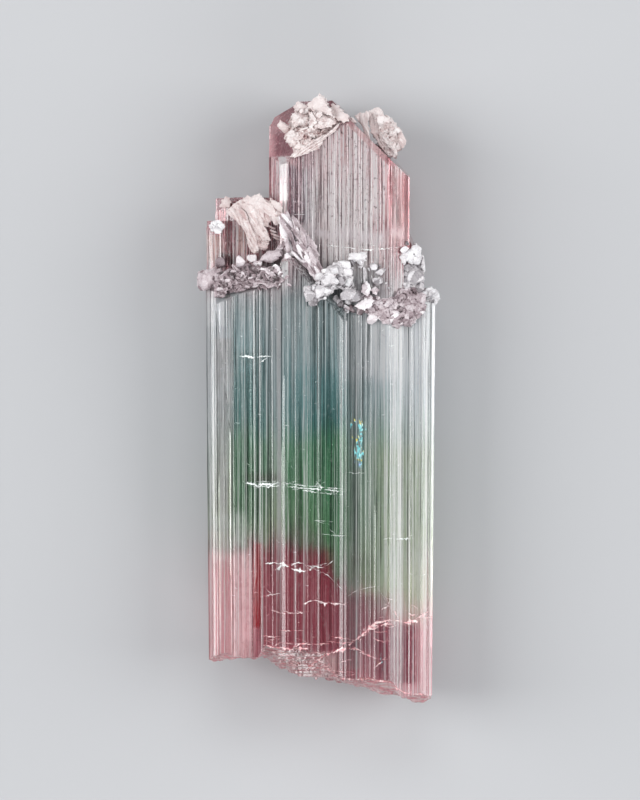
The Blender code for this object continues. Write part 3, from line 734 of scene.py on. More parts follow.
def fissure(path, wide, rng, thick=0.06):
    """A thin ragged film as a grid of (along, way round) points.

    It follows the path at the height of the faces, rising and sinking along a sine wave
    of 0.06 mm. Its width swells and shrinks at random, and closes towards both ends and
    wherever the face below is steep.
    """
    path = np.array(path, dtype=float)
    at = np.concatenate([[0], np.cumsum(np.hypot(*np.diff(path, axis=0).T))])
    rings = max(8, int(at[-1] / 0.13))
    way = np.linspace(0, at[-1], rings)
    x, y = np.interp(way, at, path[:, 0]), np.interp(way, at, path[:, 1])
    swell = np.interp(
        way, np.linspace(0, at[-1], rings // 2 + 2), rng.lognormal(-0.4, 0.6, rings // 2 + 2)
    )
    ends = np.sin(np.linspace(0.02, 0.98, rings) * math.pi) ** 0.6
    up = wide * ends * swell * rng.uniform(0.5, 1.0, rings)
    down = wide * ends * swell * rng.uniform(0.2, 0.8, rings)
    y = y + rng.normal(0, 0.05, rings)
    z = face_height(x, y) - 0.02 + 0.06 * np.sin(way * 2.1 + rng.uniform(0, 6))
    calm = np.where(np.abs(np.gradient(z)) < 0.45, 1.0, 0.02)[:, None]
    around = np.array([(-1, -0.5), (-0.4, 0.5), (0.4, 0.5), (1, -0.5), (0, -0.7)])
    reach = np.where(around[:, 0] < 0, down[:, None], up[:, None]) * calm
    return np.stack(
        [
            np.broadcast_to(x[:, None], reach.shape),
            y[:, None] + around[:, 0] * reach,
            z[:, None] + (around[:, 1] * thick - 0.1 * around[:, 0]) * calm,
        ],
        axis=2,
    )


def spray(path, wide, rng, spurs=0):
    """A fissure with short spurs that leave it to either side."""
    made = [fissure(path, wide, rng)]
    path = np.array(path, dtype=float)
    for _ in range(spurs):
        start = path[0] + (path[-1] - path[0]) * rng.uniform(0.05, 0.9)
        turn = rng.normal(0, 0.5) + (math.pi if rng.random() < 0.5 else 0)
        long = rng.uniform(0.6, 2.4)
        end = start + long * np.array([math.cos(turn), math.sin(turn)])
        made.append(
            fissure([start, (start + end) / 2 + rng.normal(0, 0.1, 2), end], wide * 0.5, rng)
        )
    return made


def films(grids, name, material):
    """The closed shells of all grids as one object."""
    bm = bmesh.new()
    for grid in grids:
        mesh = tube_mesh("film", grid)
        bm.from_mesh(mesh)
        bpy.data.meshes.remove(mesh)
    bmesh.ops.recalc_face_normals(bm, faces=bm.faces)
    mesh = bpy.data.meshes.new(name)
    bm.to_mesh(mesh)
    bm.free()
    made = new_object(name, mesh)
    mesh.materials.append(material)
    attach(made, "root")


# Healed fracture: a film of fluid bubbles in the stone, which throws back nearly all light.
healed, tree, shader = new_material("healed fracture", {"Roughness": 0.3, "IOR": 1.5})
place = add_node(tree, "TexCoord", give="Object")
place = add_node(tree, "Mapping", place, None, None, (1 / MM, 1 / MM, 1 / MM))
film = noise(tree, place, (1.6, 3.5, 1.6), 3.0)
white = add_node(tree, "Mix", film, linear("#ffffff"), linear("#e9f1ee"), **COLOURS)
pinkness = add_node(tree, "MapRange", film, 0.35, 0.6, **SMOOTH)
pink = add_node(tree, "Mix", pinkness, linear("#fbe6e4"), linear("#dd9a9f"), **COLOURS)
rosy = add_node(tree, "SeparateXYZ", place, give="Y")
rosy = add_node(tree, "MapRange", rosy, -28.0, -40.0, **SMOOTH)
colour = add_node(tree, "Mix", rosy, white, pink, **COLOURS)
tree.links.new(colour, shader.inputs["Base Color"])

CRACK_WIDEN = 1.3  # the real films are finer, and these are as wide as they need to show
rng = np.random.default_rng(31)
cracks = []
for path, wide, spurs in (
    ([(-13.8, 7.05), (-11.0, 6.95), (-7.8, 7.0)], 0.3, 3),
    ([(-12.4, -14.0), (-10.0, -14.15), (-7.9, -14.3), (-6.6, -14.4)], 0.4, 6),
    ([(-12.2, -14.1), (-9.0, -14.3), (-6.7, -14.5)], 0.25, 2),
    ([(-11.4, -14.5), (-9.4, -14.6), (-7.0, -14.6)], 0.14, 3),
    ([(-9.6, -13.7), (-8.2, -13.8), (-6.7, -14.0)], 0.12, 2),
    ([(-6.4, -14.2), (-3.0, -14.4), (0.8, -14.7), (4.3, -15.0)], 0.14, 5),
    ([(-6.4, -14.5), (-3.0, -14.8), (0.8, -15.1), (4.3, -15.4)], 0.2, 7),
    ([(-4.6, -15.0), (-1.6, -15.4), (1.8, -15.8), (3.8, -15.9)], 0.1, 4),
    ([(-6.2, -14.0), (-4.2, -14.1), (-2.4, -14.4)], 0.1, 2),
    ([(-14.2, -4.1), (-13.2, -4.05)], 0.12, 0),
    ([(4.7, -12.3), (6.0, -12.4), (7.4, -12.4)], 0.12, 1),
    ([(-0.9, -20.2), (2.1, -20.4)], 0.13, 1),
    ([(0.4, -22.5), (4.4, -22.8)], 0.12, 1),
    ([(11.6, -23.2), (13.5, -23.4), (15.7, -23.2)], 0.15, 1),
    ([(-7.6, -27.2), (-5.6, -27.6), (-4.2, -28.4), (-2.6, -28.6), (-0.9, -27.9)], 0.42, 7),
    ([(-2.6, -27.6), (-0.4, -27.9), (1.1, -28.1)], 0.16, 3),
    ([(-9.9, -32.9), (-8.4, -32.6), (-6.4, -32.3)], 0.18, 2),
    ([(-0.9, -33.4), (0.8, -33.9), (3.4, -34.0)], 0.24, 4),
    ([(-8.6, -34.9), (-6.6, -35.6), (-3.4, -35.5), (-1.8, -35.2)], 0.16, 3),
    ([(-9.6, -39.3), (-8.2, -39.5), (-6.6, -39.9)], 0.2, 2),
    ([(-6.8, -38.4), (-4.0, -38.5), (-2.6, -38.4)], 0.1, 0),
    ([(1.9, -39.4), (4.2, -39.8), (6.0, -40.2)], 0.2, 1),
    ([(1.2, -40.2), (3.6, -40.5), (5.8, -40.5)], 0.13, 0),
    ([(8.4, -39.6), (9.6, -40.1), (11.0, -40.6)], 0.14, 1),
    ([(6.6, -42.0), (8.2, -42.7), (9.4, -43.2), (11.2, -43.4)], 0.16, 1),
    ([(6.7, -39.8), (8.0, -38.2), (9.6, -37.2), (11.4, -36.8), (13.2, -36.9)], 0.24, 3),
    ([(7.4, -38.6), (9.2, -37.7), (11.2, -37.4), (12.4, -37.6)], 0.2, 2),
    ([(9.0, -44.8), (10.2, -43.6), (11.0, -42.9)], 0.16, 0),
    ([(15.6, -34.4), (16.2, -34.9), (16.3, -35.7), (15.8, -36.4)], 0.14, 0),
    ([(-2.3, -27.6), (1.2, -29.2), (4.0, -31.9)], 0.07, 3),
    ([(3.8, -33.4), (6.0, -31.9), (9.4, -31.1), (11.4, -34.4), (12.0, -36.8)], 0.08, 4),
    ([(10.6, -32.4), (11.6, -34.4), (12.1, -36.0)], 0.16, 3),
    ([(1.6, -45.0), (3.6, -45.3), (6.4, -45.6)], 0.12, 0),
    ([(4.7, -40.9), (6.9, -39.3), (8.4, -37.9), (9.8, -37.0), (11.6, -36.7)], 0.55, 4),
    ([(6.9, -38.6), (9.4, -37.2), (11.4, -37.3)], 0.4, 2),
    ([(12.2, -36.8), (14.4, -37.2), (16.4, -36.8), (18.0, -35.4)], 0.5, 2),
    ([(-2.4, -45.6), (-0.6, -43.6), (1.0, -42.4), (3.6, -41.5), (5.8, -41.5), (7.6, -42.2)],
     0.5, 3),
    ([(-9.4, -40.9), (-6.0, -41.4), (-2.0, -41.4)], 0.4, 3),
    ([(-9.0, -40.3), (-5.0, -40.6), (-1.0, -40.7), (2.0, -40.6)], 0.14, 3),
    ([(2.0, -45.9), (4.4, -46.6), (8.0, -46.5), (12.0, -47.2)], 0.24, 3),
    ([(12.0, -47.6), (14.0, -48.9), (17.6, -49.3)], 0.24, 2),
    ([(16.0, -36.6), (17.0, -36.0), (18.2, -34.6)], 0.24, 1),
    ([(-5.2, 30.6), (-3.6, 30.55), (-2.2, 30.6)], 0.07, 0),
    ([(5.2, 31.3), (6.5, 31.35)], 0.06, 0),
    ([(1.2, 25.4), (3.0, 25.3), (5.0, 25.0), (8.0, 24.7), (11.0, 24.9), (13.6, 25.2)], 0.12, 3),
):
    cracks += spray(path, wide * CRACK_WIDEN, rng, spurs)
for _ in range(24):
    x = rng.uniform(-9.4, 2.4)
    low, high = np.interp(x, *BREAK_DEEP.T) + 0.3, np.interp(x, *BREAK_FRONT.T) - 0.1
    y = rng.uniform(low, max(high, low + 0.2))
    long = rng.uniform(0.8, 3.2)
    cracks.append(fissure([(x - long / 2, y + 0.1), (x, y), (x + long / 2, y - 0.25)], 0.14, rng))
for _ in range(170):
    x, y = rng.uniform(-17.0, 17.5), rng.uniform(-40.0, 14.0)
    turn = rng.choice([rng.normal(0, 0.4), rng.uniform(0, math.pi)])
    end = rng.lognormal(-0.8, 0.5) * np.array([math.cos(turn), math.sin(turn)])
    cracks.append(fissure([(x, y), (x, y) + end], 0.05, rng))
films(cracks, "healed_cracks", healed)

# Open fracture: a gap thinner than a wave of light, which shows a soap film's colours.
rainbow, tree, shader = new_material("iridescent fracture", {"Roughness": 0.2})
place = add_node(tree, "TexCoord", give="Object")
place = add_node(tree, "Mapping", place, None, None, (1 / MM, 1 / MM, 1 / MM))
hues = banded(
    tree,
    noise(tree, place, (0.55, 0.5, 0.55), 2.0),
    [(0.3, "#b9f0ee"), (0.42, "#7fdbe2"), (0.5, "#c9f3f0"), (0.54, "#f7d95c"), (0.58, "#f3e27c"),
     (0.62, "#8fe6dc"), (0.7, "#a9b8f2")],
    0.0, 1.0,
)
tree.links.new(hues, shader.inputs["Base Color"])
rng = np.random.default_rng(32)
flecks = []
for _ in range(46):
    x, y = rng.normal(6.4, 0.4), rng.uniform(-11.3, -3.8)
    turn = rng.uniform(0, math.pi)
    end = rng.uniform(0.5, 1.1) * np.array([0.6 * math.cos(turn), math.sin(turn)])
    flecks.append(
        fissure([(x, y), (x, y) + end / 2 + rng.normal(0, 0.1, 2), (x, y) + end], 1.0, rng)
    )
for _ in range(14):
    x, y = rng.normal(10.2, 0.35), rng.uniform(-45.6, -42.4)
    end = rng.uniform(0.3, 0.7) * np.array([rng.normal(0, 0.4), 1.0])
    flecks.append(fissure([(x, y), (x, y) + end], 0.14, rng))
films(flecks, "iridescent_flecks", rainbow)

# ---------------------------------------------------------------------------
# The crown on the left of the tip. A mass of small cleavelandite crystals with a few
# broad blades standing out of it, grown on the sloping end of the tall prism.
# ---------------------------------------------------------------------------

GRID_STEP = 0.17


def turned(points, angles):
    """The points turned by angles in degrees about X, then Y, then Z."""
    x, y, z = np.radians(angles)
    about_x = np.array([(1, 0, 0), (0, math.cos(x), -math.sin(x)), (0, math.sin(x), math.cos(x))])
    about_y = np.array([(math.cos(y), 0, math.sin(y)), (0, 1, 0), (-math.sin(y), 0, math.cos(y))])
    about_z = np.array([(math.cos(z), -math.sin(z), 0), (math.sin(z), math.cos(z), 0), (0, 0, 1)])
    return points @ (about_z @ about_y @ about_x).T


def grains(points, size, seed):
    """Relief of grown-together grains: height and shade at each point, each about 0 to 1.

    Seeds stand on a cubic lattice of the grain size, each pushed about at random. A
    point belongs to its nearest seed, and its height is that seed's own level plus a
    tilt times the way from the seed: one flat crystal face for each grain.
    """
    rng = np.random.default_rng(seed)
    flat = points.reshape(-1, 3)
    low = flat.min(axis=0) - size
    counts = np.ceil((flat.max(axis=0) + size - low) / size).astype(int)
    lattice = np.stack(np.meshgrid(*[np.arange(n) for n in counts], indexing="ij"), axis=3)
    seeds = low + (lattice.reshape(-1, 3) + rng.uniform(0, 1, (counts.prod(), 3))) * size
    apart = (flat**2).sum(1)[:, None] + (seeds**2).sum(1) - 2 * flat @ seeds.T
    nearest = apart.argmin(axis=1)
    level = rng.uniform(0.1, 0.9, len(seeds))
    tilt = rng.normal(0, 0.42, (len(seeds), 3))
    height = level[nearest] + (tilt[nearest] * (flat - seeds[nearest])).sum(axis=1) / size
    shade = rng.uniform(0, 1, len(seeds))[nearest]
    return height.reshape(points.shape[:-1]), shade.reshape(points.shape[:-1])


def patch(outline, front, back, tint, lean=(0, 0), dome=0.4, relief=0.4, grain=0.8,
          mottle=0.16, ribs=None):
    """A flat lump of crystals: a grid of (ring, way round) points and a shade for each.

    Its rings run from its middle to the outline, which is made jagged. The front rises
    by dome times one minus the fourth power of the way to the rim, leans by lean, and
    carries the relief of the grains and, with ribs = (direction, spacing, height), a
    wave across that direction. The sides close to the back along a rounded square.
    """
    seed = int(abs(outline[0][0] * 1000 + outline[1][1] * 77)) + 1
    rng = np.random.default_rng(seed)
    corners = np.array(outline, dtype=float)
    sides = np.hypot(*(np.roll(corners, -1, axis=0) - corners).T)
    at = np.concatenate([[0], np.cumsum(sides)])
    around = max(24, int(at[-1] / GRID_STEP))
    way = np.linspace(0, at[-1], around, endpoint=False)
    closed = np.vstack([corners, corners[:1]])
    rim = np.stack([np.interp(way, at, closed[:, 0]), np.interp(way, at, closed[:, 1])], axis=1)
    middle = rim.mean(axis=0)
    out = rim - middle
    reach = np.hypot(*out.T)
    jagged = rng.normal(0, 0.05, around)
    jagged += 0.09 * np.repeat(rng.normal(0, 1, around // 3 + 1), 3)[:around]
    out *= (1 + np.clip(jagged, -0.3, 0.2) / np.maximum(reach, 0.6))[:, None]
    rings = max(7, int(reach.max() / GRID_STEP))
    wall = max(4, int((front - back) / 0.45))
    turn = np.linspace(0, math.pi / 2, wall + 1)[1:]
    share = np.concatenate([np.linspace(0.04, 1, rings), 0.05 + 0.95 * np.cos(turn) ** 0.45])
    share = share[:, None]
    depth = np.concatenate([np.zeros(rings), (front - back) * np.sin(turn) ** 1.1])[:, None]
    x = middle[0] + share * out[:, 0]
    y = middle[1] + share * out[:, 1]
    z = front + lean[0] * (x - middle[0]) + lean[1] * (y - middle[1])
    z += dome * (1 - share**4) * (depth == 0) - depth
    height, shade = grains(np.stack([x, y, z], axis=2), grain, seed)
    fine, _ = grains(np.stack([x, y, z], axis=2), grain * 0.4, seed + 1)
    uneven = relief * (height - 0.5) + relief * 0.3 * (fine - 0.5)
    z += uneven * (depth == 0)
    swell = 1 + uneven * (depth > 0) * share / np.maximum(reach, 0.6)
    x = middle[0] + swell * share * out[:, 0]
    y = middle[1] + swell * share * out[:, 1]
    if ribs:
        direction, spacing, high = ribs
        turn = math.radians(direction)
        across = x * math.cos(turn) + y * math.sin(turn)
        along = -x * math.sin(turn) + y * math.cos(turn)
        wave = across / spacing + 0.3 * np.sin(along * 0.9) + 0.2 * np.sin(across * 1.7)
        crest = np.abs(wave % 1 - 0.5) * 2 + 0.45 * np.abs((wave * 2.7) % 1 - 0.5)
        z += high * (crest - 0.6) * (depth == 0)
        # Painted light and shade: the ribs' crests are lighter and their troughs darker.
        shade = 0.5 * shade + 0.5 * np.clip(crest, 0, 1)
    return np.stack([x, y, z], axis=2), np.clip(tint + mottle * (shade * 2 - 1), 0, 1)


def faceted(middle, half, rng, tint, angles=(0, 0, 0), faces=13):
    """One blocky crystal as a grid of (ring, way round) points, with a shade for each face.

    In each direction d its radius is the least h / (n . d) over its faces. The normals n
    are three pairs near right angles, with h from 0.65 to 0.95, and random ones, with h
    from 0.75 to 1. It is then stretched and turned.
    """
    down = np.linspace(0.07, math.pi - 0.07, 15)[:, None]
    turn = np.arange(21) / 21 * 2 * math.pi
    level = -np.cos(down) + 0 * turn
    way = np.stack([np.sin(down) * np.cos(turn), np.sin(down) * np.sin(turn), level], axis=2)
    normals = rng.normal(0, 1, (faces, 3))
    normals[:6] = np.vstack([np.eye(3), -np.eye(3)]) + rng.normal(0, 0.3, (6, 3))
    normals /= np.linalg.norm(normals, axis=1)[:, None]
    apart = np.concatenate([rng.uniform(0.65, 0.95, 6), rng.uniform(0.75, 1.0, faces - 6)])
    radius = apart / np.maximum(way @ normals.T, 0.05)
    # Painted light and shade: each face is lighter or darker than the tint at random, as facets
    # that catch the light differently.
    shade = tint + 0.5 * (rng.random(faces)[radius.argmin(axis=2)] - 0.5)
    points = way * np.minimum(radius.min(axis=2), 1.25)[..., None] * np.array(half)
    return turned(points, angles) + np.array(middle), np.clip(shade, 0, 1)


def strewn(outline, heights, count, size, tint, rng, lean=38):
    """Small blades over the inside of the outline, each leaning its own way."""
    corners = np.array(outline, dtype=float)
    made = []
    for _ in range(count):
        x, y = corners.T @ rng.dirichlet(np.full(len(corners), 0.35))
        long = size / 2 * rng.lognormal(0, 0.3)
        half = (long, long * rng.uniform(0.45, 0.8), long * rng.uniform(0.2, 0.35))
        angles = (rng.normal(0, lean), rng.normal(0, lean), rng.uniform(0, 360))
        shade = tint + rng.uniform(-0.15, 0.1)
        made.append(faceted((x, y, rng.uniform(*heights)), half, rng, shade, angles, faces=10))
    return made


def crust(path, reach, count, size, tint, rng, spread=0.1, thin=0.8, faces=13):
    """Crystals along a path and up to reach beside it, each seated on the tourmaline."""
    path = np.array(path, dtype=float)
    at = np.concatenate([[0], np.cumsum(np.linalg.norm(np.diff(path, axis=0), axis=1))])
    way = (np.arange(count) + rng.random(count)) / count * at[-1]
    spots = np.stack([np.interp(way, at, path[:, axis]) for axis in range(3)], axis=1)
    spots += rng.uniform(-reach, reach, (count, 3))
    made = []
    for spot in spots:
        _, seat, out, _ = crystal.closest_point_on_mesh(spot * MM)
        long = size / 2 * rng.lognormal(0, 0.28)
        half = (long, long * rng.uniform(0.6, 1.0), long * rng.uniform(thin, 1.0))
        angles = (rng.normal(0, 30), rng.normal(0, 30), rng.uniform(0, 360))
        middle = np.array(seat) / MM + np.array(out) * long * 0.35
        made.append(faceted(middle, half, rng, tint + rng.normal(0, spread), angles, faces))
    return made


def grown_on(shells, name, node, material):
    """All the closed shells joined into one solid, with each face's shade kept on it."""
    pieces = bpy.data.collections.new(name)
    bpy.context.scene.collection.children.link(pieces)
    made = []
    for grid, shade in shells:
        mesh = tube_mesh("shell", grid)
        shades = np.concatenate([shade[:-1].ravel(), shade[0], shade[-1]])
        mesh.attributes.new("shade", "FLOAT", "FACE").data.foreach_set("value", shades)
        bm = bmesh.new()
        bm.from_mesh(mesh)
        bmesh.ops.triangulate(bm, faces=bm.faces)
        bmesh.ops.recalc_face_normals(bm, faces=bm.faces)
        bm.to_mesh(mesh)
        bm.free()
        made.append(new_object("shell", mesh, pieces))
    pieces.objects.unlink(made[0])
    bpy.context.scene.collection.objects.link(made[0])
    add_boolean(made[0], "UNION", pieces)
    whole = finished(made[0], name)
    for shell in made:
        bpy.data.objects.remove(shell)
    whole.data.materials.clear()
    whole.data.materials.append(material)
    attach(whole, "root")
    if node:
        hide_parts(node)


CLOUD = 1.5  # millimetres across
PIT = 0.25  # millimetres apart
PIT_DEPTH = 0.08


def feldspar(name, shades, roughness, glow, hollow_shade):
    """Albite coloured from each grain's shade, plus milky clouds and fine pits.

    The pits also roughen it, and its hollows are painted darker than its edges, as painted shade.
    """
    values = {
        "IOR": 1.53,
        "Subsurface Weight": glow,
        "Subsurface Radius": (1.0, 0.9, 0.85),
        "Subsurface Scale": 0.8 * MM,
    }
    skin, tree, shader = new_material(name, values)
    spot = add_node(tree, "TexCoord", give="Object")
    clouds = add_node(tree, "TexNoise", spot, 1 / (CLOUD * MM), 4.0)
    pits = add_node(tree, "TexNoise", spot, 1 / (PIT * MM), 2.0)
    shade = add_node(tree, "Attribute", give="Fac", attribute_name="shade")
    shade = stirred(tree, stirred(tree, shade, clouds, 0.5), pits, 0.35)
    # Painted shade: hollows, where pointiness is low, are darkened.
    sharp = add_node(tree, "NewGeometry", give="Pointiness")
    shade = eased(tree, shade, "SUBTRACT", (sharp, 0.5, 0.44, 0.0, hollow_shade))
    tree.links.new(banded(tree, shade, shades, -0.1, 1.1), shader.inputs["Base Color"])
    dullness = add_node(tree, "MapRange", shade, 0.2, 0.9, *roughness, **SMOOTH)
    tree.links.new(dullness, shader.inputs["Roughness"])
    bump = add_node(tree, "Bump", 0.3, PIT_DEPTH * MM, None, pits)
    tree.links.new(bump, shader.inputs["Normal"])
    return skin


# Cleavelandite: platy albite, milky white with a warm cast, pearly on its faces.
cleavelandite = feldspar(
    "cleavelandite",
    [(-0.1, "#794f51"), (0.25, "#ac8987"), (0.55, "#c6b2b0"), (0.8, "#d7cac8"), (1.1, "#ebe5e3")],
    (0.3, 0.45),
    0.1,
    0.35,
)

CROWN_LEFT = [
    (-0.2, 50.4), (0.6, 49.9), (1.2, 48.9), (1.9, 48.1), (2.4, 49.0), (3.3, 48.1), (4.0, 47.5),
    (4.8, 46.8), (3.5, 45.8), (2.6, 44.9), (1.8, 44.5), (1.0, 44.0), (-0.2, 42.8), (-1.6, 42.1),
    (-2.6, 41.2), (-4.4, 40.4), (-4.6, 41.8), (-5.4, 42.7), (-5.9, 43.6), (-5.2, 44.6),
    (-5.0, 45.7), (-5.0, 46.5), (-4.3, 47.4), (-4.0, 49.2), (-3.5, 49.5), (-2.8, 48.9),
    (-2.0, 48.7), (-1.4, 49.3), (-0.6, 50.1),
]
rng = np.random.default_rng(11)
crown_left = [
    patch(CROWN_LEFT, 16.6, 11.0, 0.8, lean=(0.0, -0.28), dome=0.9, relief=0.7, grain=0.9),
    patch(
        [(-2.4, 48.8), (-1.5, 49.5), (-0.2, 50.4), (0.6, 49.9), (1.2, 48.9), (1.9, 48.0),
         (2.1, 46.9), (0.5, 47.3), (-1.2, 47.5)],
        17.4, 13.5, 0.88, lean=(0.3, -0.25), dome=0.2, relief=0.1, grain=1.6, mottle=0.06,
    ),
    patch(
        [(1.9, 48.8), (2.3, 49.1), (3.4, 47.7), (4.7, 47.2), (4.9, 46.1), (3.9, 45.8), (3.0, 46.1),
         (2.1, 47.5)],
        17.2, 12.5, 0.8, lean=(0.5, -0.2), dome=0.15, relief=0.06, grain=1.4, mottle=0.05,
    ),
    patch(
        [(-4.2, 48.8), (-3.6, 49.4), (-2.4, 48.8), (-1.6, 48.0), (-2.8, 47.7), (-3.9, 47.7)],
        17.1, 12.5, 0.76, lean=(-0.3, -0.2), dome=0.3, relief=0.12, mottle=0.07,
    ),
    patch(
        [(-7.1, 45.7), (-6.6, 46.3), (-5.1, 45.3), (-4.9, 44.8), (-5.5, 44.0), (-6.9, 44.8)],
        16.8, 13.0, 0.68, lean=(0.2, 0.3), dome=0.5, relief=0.05, grain=1.5, mottle=0.04,
    ),
    patch(
        [(-4.9, 46.9), (-4.0, 47.6), (-2.6, 47.4), (-1.6, 46.6), (-2.4, 45.5), (-4.3, 45.2)],
        17.8, 15.0, 0.82, lean=(-0.25, -0.3), relief=0.3, grain=0.7,
    ),
    patch(
        [(-1.9, 46.9), (-0.4, 47.4), (1.0, 46.9), (2.6, 46.0), (2.0, 45.0), (0.2, 44.9),
         (-1.4, 45.2)],
        18.0, 15.0, 0.85, lean=(0.15, -0.35), relief=0.3, grain=0.7,
    ),
    patch(
        [(-5.7, 43.8), (-4.8, 44.7), (-3.6, 44.3), (-3.4, 42.8), (-4.3, 41.6), (-5.4, 42.6)],
        17.9, 14.0, 0.92, lean=(-0.3, 0.1), relief=0.25, grain=0.6, mottle=0.1,
    ),
    patch(
        [(-3.3, 44.6), (-1.9, 44.9), (-0.9, 43.9), (-1.4, 42.7), (-2.9, 42.6), (-3.7, 43.4)],
        18.3, 15.0, 0.85, relief=0.6, grain=0.5, mottle=0.45,
    ),
    patch(
        [(-5.1, 40.1), (-3.9, 41.3), (-1.4, 42.8), (0.4, 43.7), (1.7, 44.3), (3.3, 45.8),
         (2.7, 44.5), (0.6, 43.0), (0.0, 41.6), (-2.0, 40.7), (-4.2, 40.0)],
        18.3, 16.4, 0.82, dome=0.15, relief=0.2, grain=0.5, mottle=0.22, ribs=(127, 0.4, 0.12),
    ),
]
crown_left += strewn(CROWN_LEFT, (17.2, 18.3), 44, 1.3, 0.85, rng)
grown_on(crown_left, "crown_left_crystals", "albite_crown_left", cleavelandite)

# ---------------------------------------------------------------------------
# The crown on the right of the tip. Broad scalloped plates of cleavelandite, one behind
# the other, and a narrow ribbed blade beside them.
# ---------------------------------------------------------------------------

CROWN_RIGHT = [
    (8.2, 47.6), (8.4, 48.1), (9.5, 48.6), (10.3, 48.2), (10.5, 47.4), (11.5, 47.3), (12.2, 46.1),
    (13.2, 45.2), (13.8, 44.2), (14.2, 43.2), (14.35, 42.5), (13.6, 41.6), (12.8, 41.3),
    (13.0, 40.7), (12.5, 40.1), (12.0, 40.5), (10.9, 40.8), (10.1, 41.9), (9.2, 43.4), (8.4, 44.4),
    (8.2, 46.0),
]
leaves = np.array(CROWN_RIGHT) - (11, 44)
crown_right = [
    patch(
        CROWN_RIGHT, 14.0, 11.6, 0.84, lean=(-0.05, -0.02), dome=0.5, relief=0.26, grain=0.9,
        mottle=0.1,
    ),
    patch(
        (leaves * (0.9, 0.95) + (11.2, 43.8)).tolist(), 12.6, 9.0, 0.76, lean=(0.12, 0.0),
        relief=0.3,
    ),
    patch(
        (leaves * (0.72, 0.8) + (10.9, 43.4)).tolist(), 10.0, 6.8, 0.76, lean=(0.2, 0.1),
        relief=0.3,
    ),
    patch(
        [(8.2, 47.6), (8.9, 46.8), (9.1, 45.4), (9.4, 44.2), (10.2, 42.6), (10.9, 40.9),
         (10.1, 41.9), (9.2, 43.4), (8.4, 44.4), (8.2, 46.0)],
        14.5, 12.6, 0.66, lean=(-0.15, 0.0), dome=0.1, relief=0.08, grain=1.2, mottle=0.07,
    ),
    patch(
        [(12.5, 45.4), (13.2, 45.2), (13.8, 44.2), (14.2, 43.2), (14.35, 42.5), (13.6, 41.6),
         (13.1, 42.6), (12.9, 44.0)],
        14.4, 12.6, 0.72, lean=(-0.2, 0.1), dome=0.15, relief=0.08, grain=1.2, mottle=0.07,
    ),
    patch(
        [(9.3, 47.3), (11.2, 46.9), (12.4, 44.9), (12.9, 42.8), (12.2, 41.2), (11.0, 42.0),
         (10.0, 43.6), (9.4, 45.4)],
        14.6, 12.4, 0.9, dome=0.3, relief=0.3, grain=0.5, mottle=0.2,
    ),
    patch(
        [(5.7, 47.1), (6.4, 47.6), (7.8, 47.8), (8.2, 47.5), (8.1, 45.7), (8.35, 42.8), (7.6, 43.8),
         (6.8, 45.7)],
        14.9, 10.5, 0.8, lean=(0.25, 0.0), dome=0.1, relief=0.06, grain=1.3, mottle=0.08,
        ribs=(12, 0.8, 0.16),
    ),
    patch(
        [(4.4, 46.4), (4.9, 46.7), (5.4, 46.8), (6.1, 46.0), (5.5, 45.8)],
        15.0, 12.0, 0.76, dome=0.3, relief=0.1,
    ),
]
rng = np.random.default_rng(12)
crown_right += strewn(leaves[:12] * 0.8 + (11, 44), (14.9, 15.3), 16, 1.1, 0.85, rng, lean=20)
grown_on(crown_right, "crown_right_crystals", "albite_crown_right", cleavelandite)

# ---------------------------------------------------------------------------
# The fan on the left shoulder. A broad sheet of cleavelandite hangs over the sub-crystal
# like a curtain of ribbed blades, with blocky ones along the top.
# ---------------------------------------------------------------------------

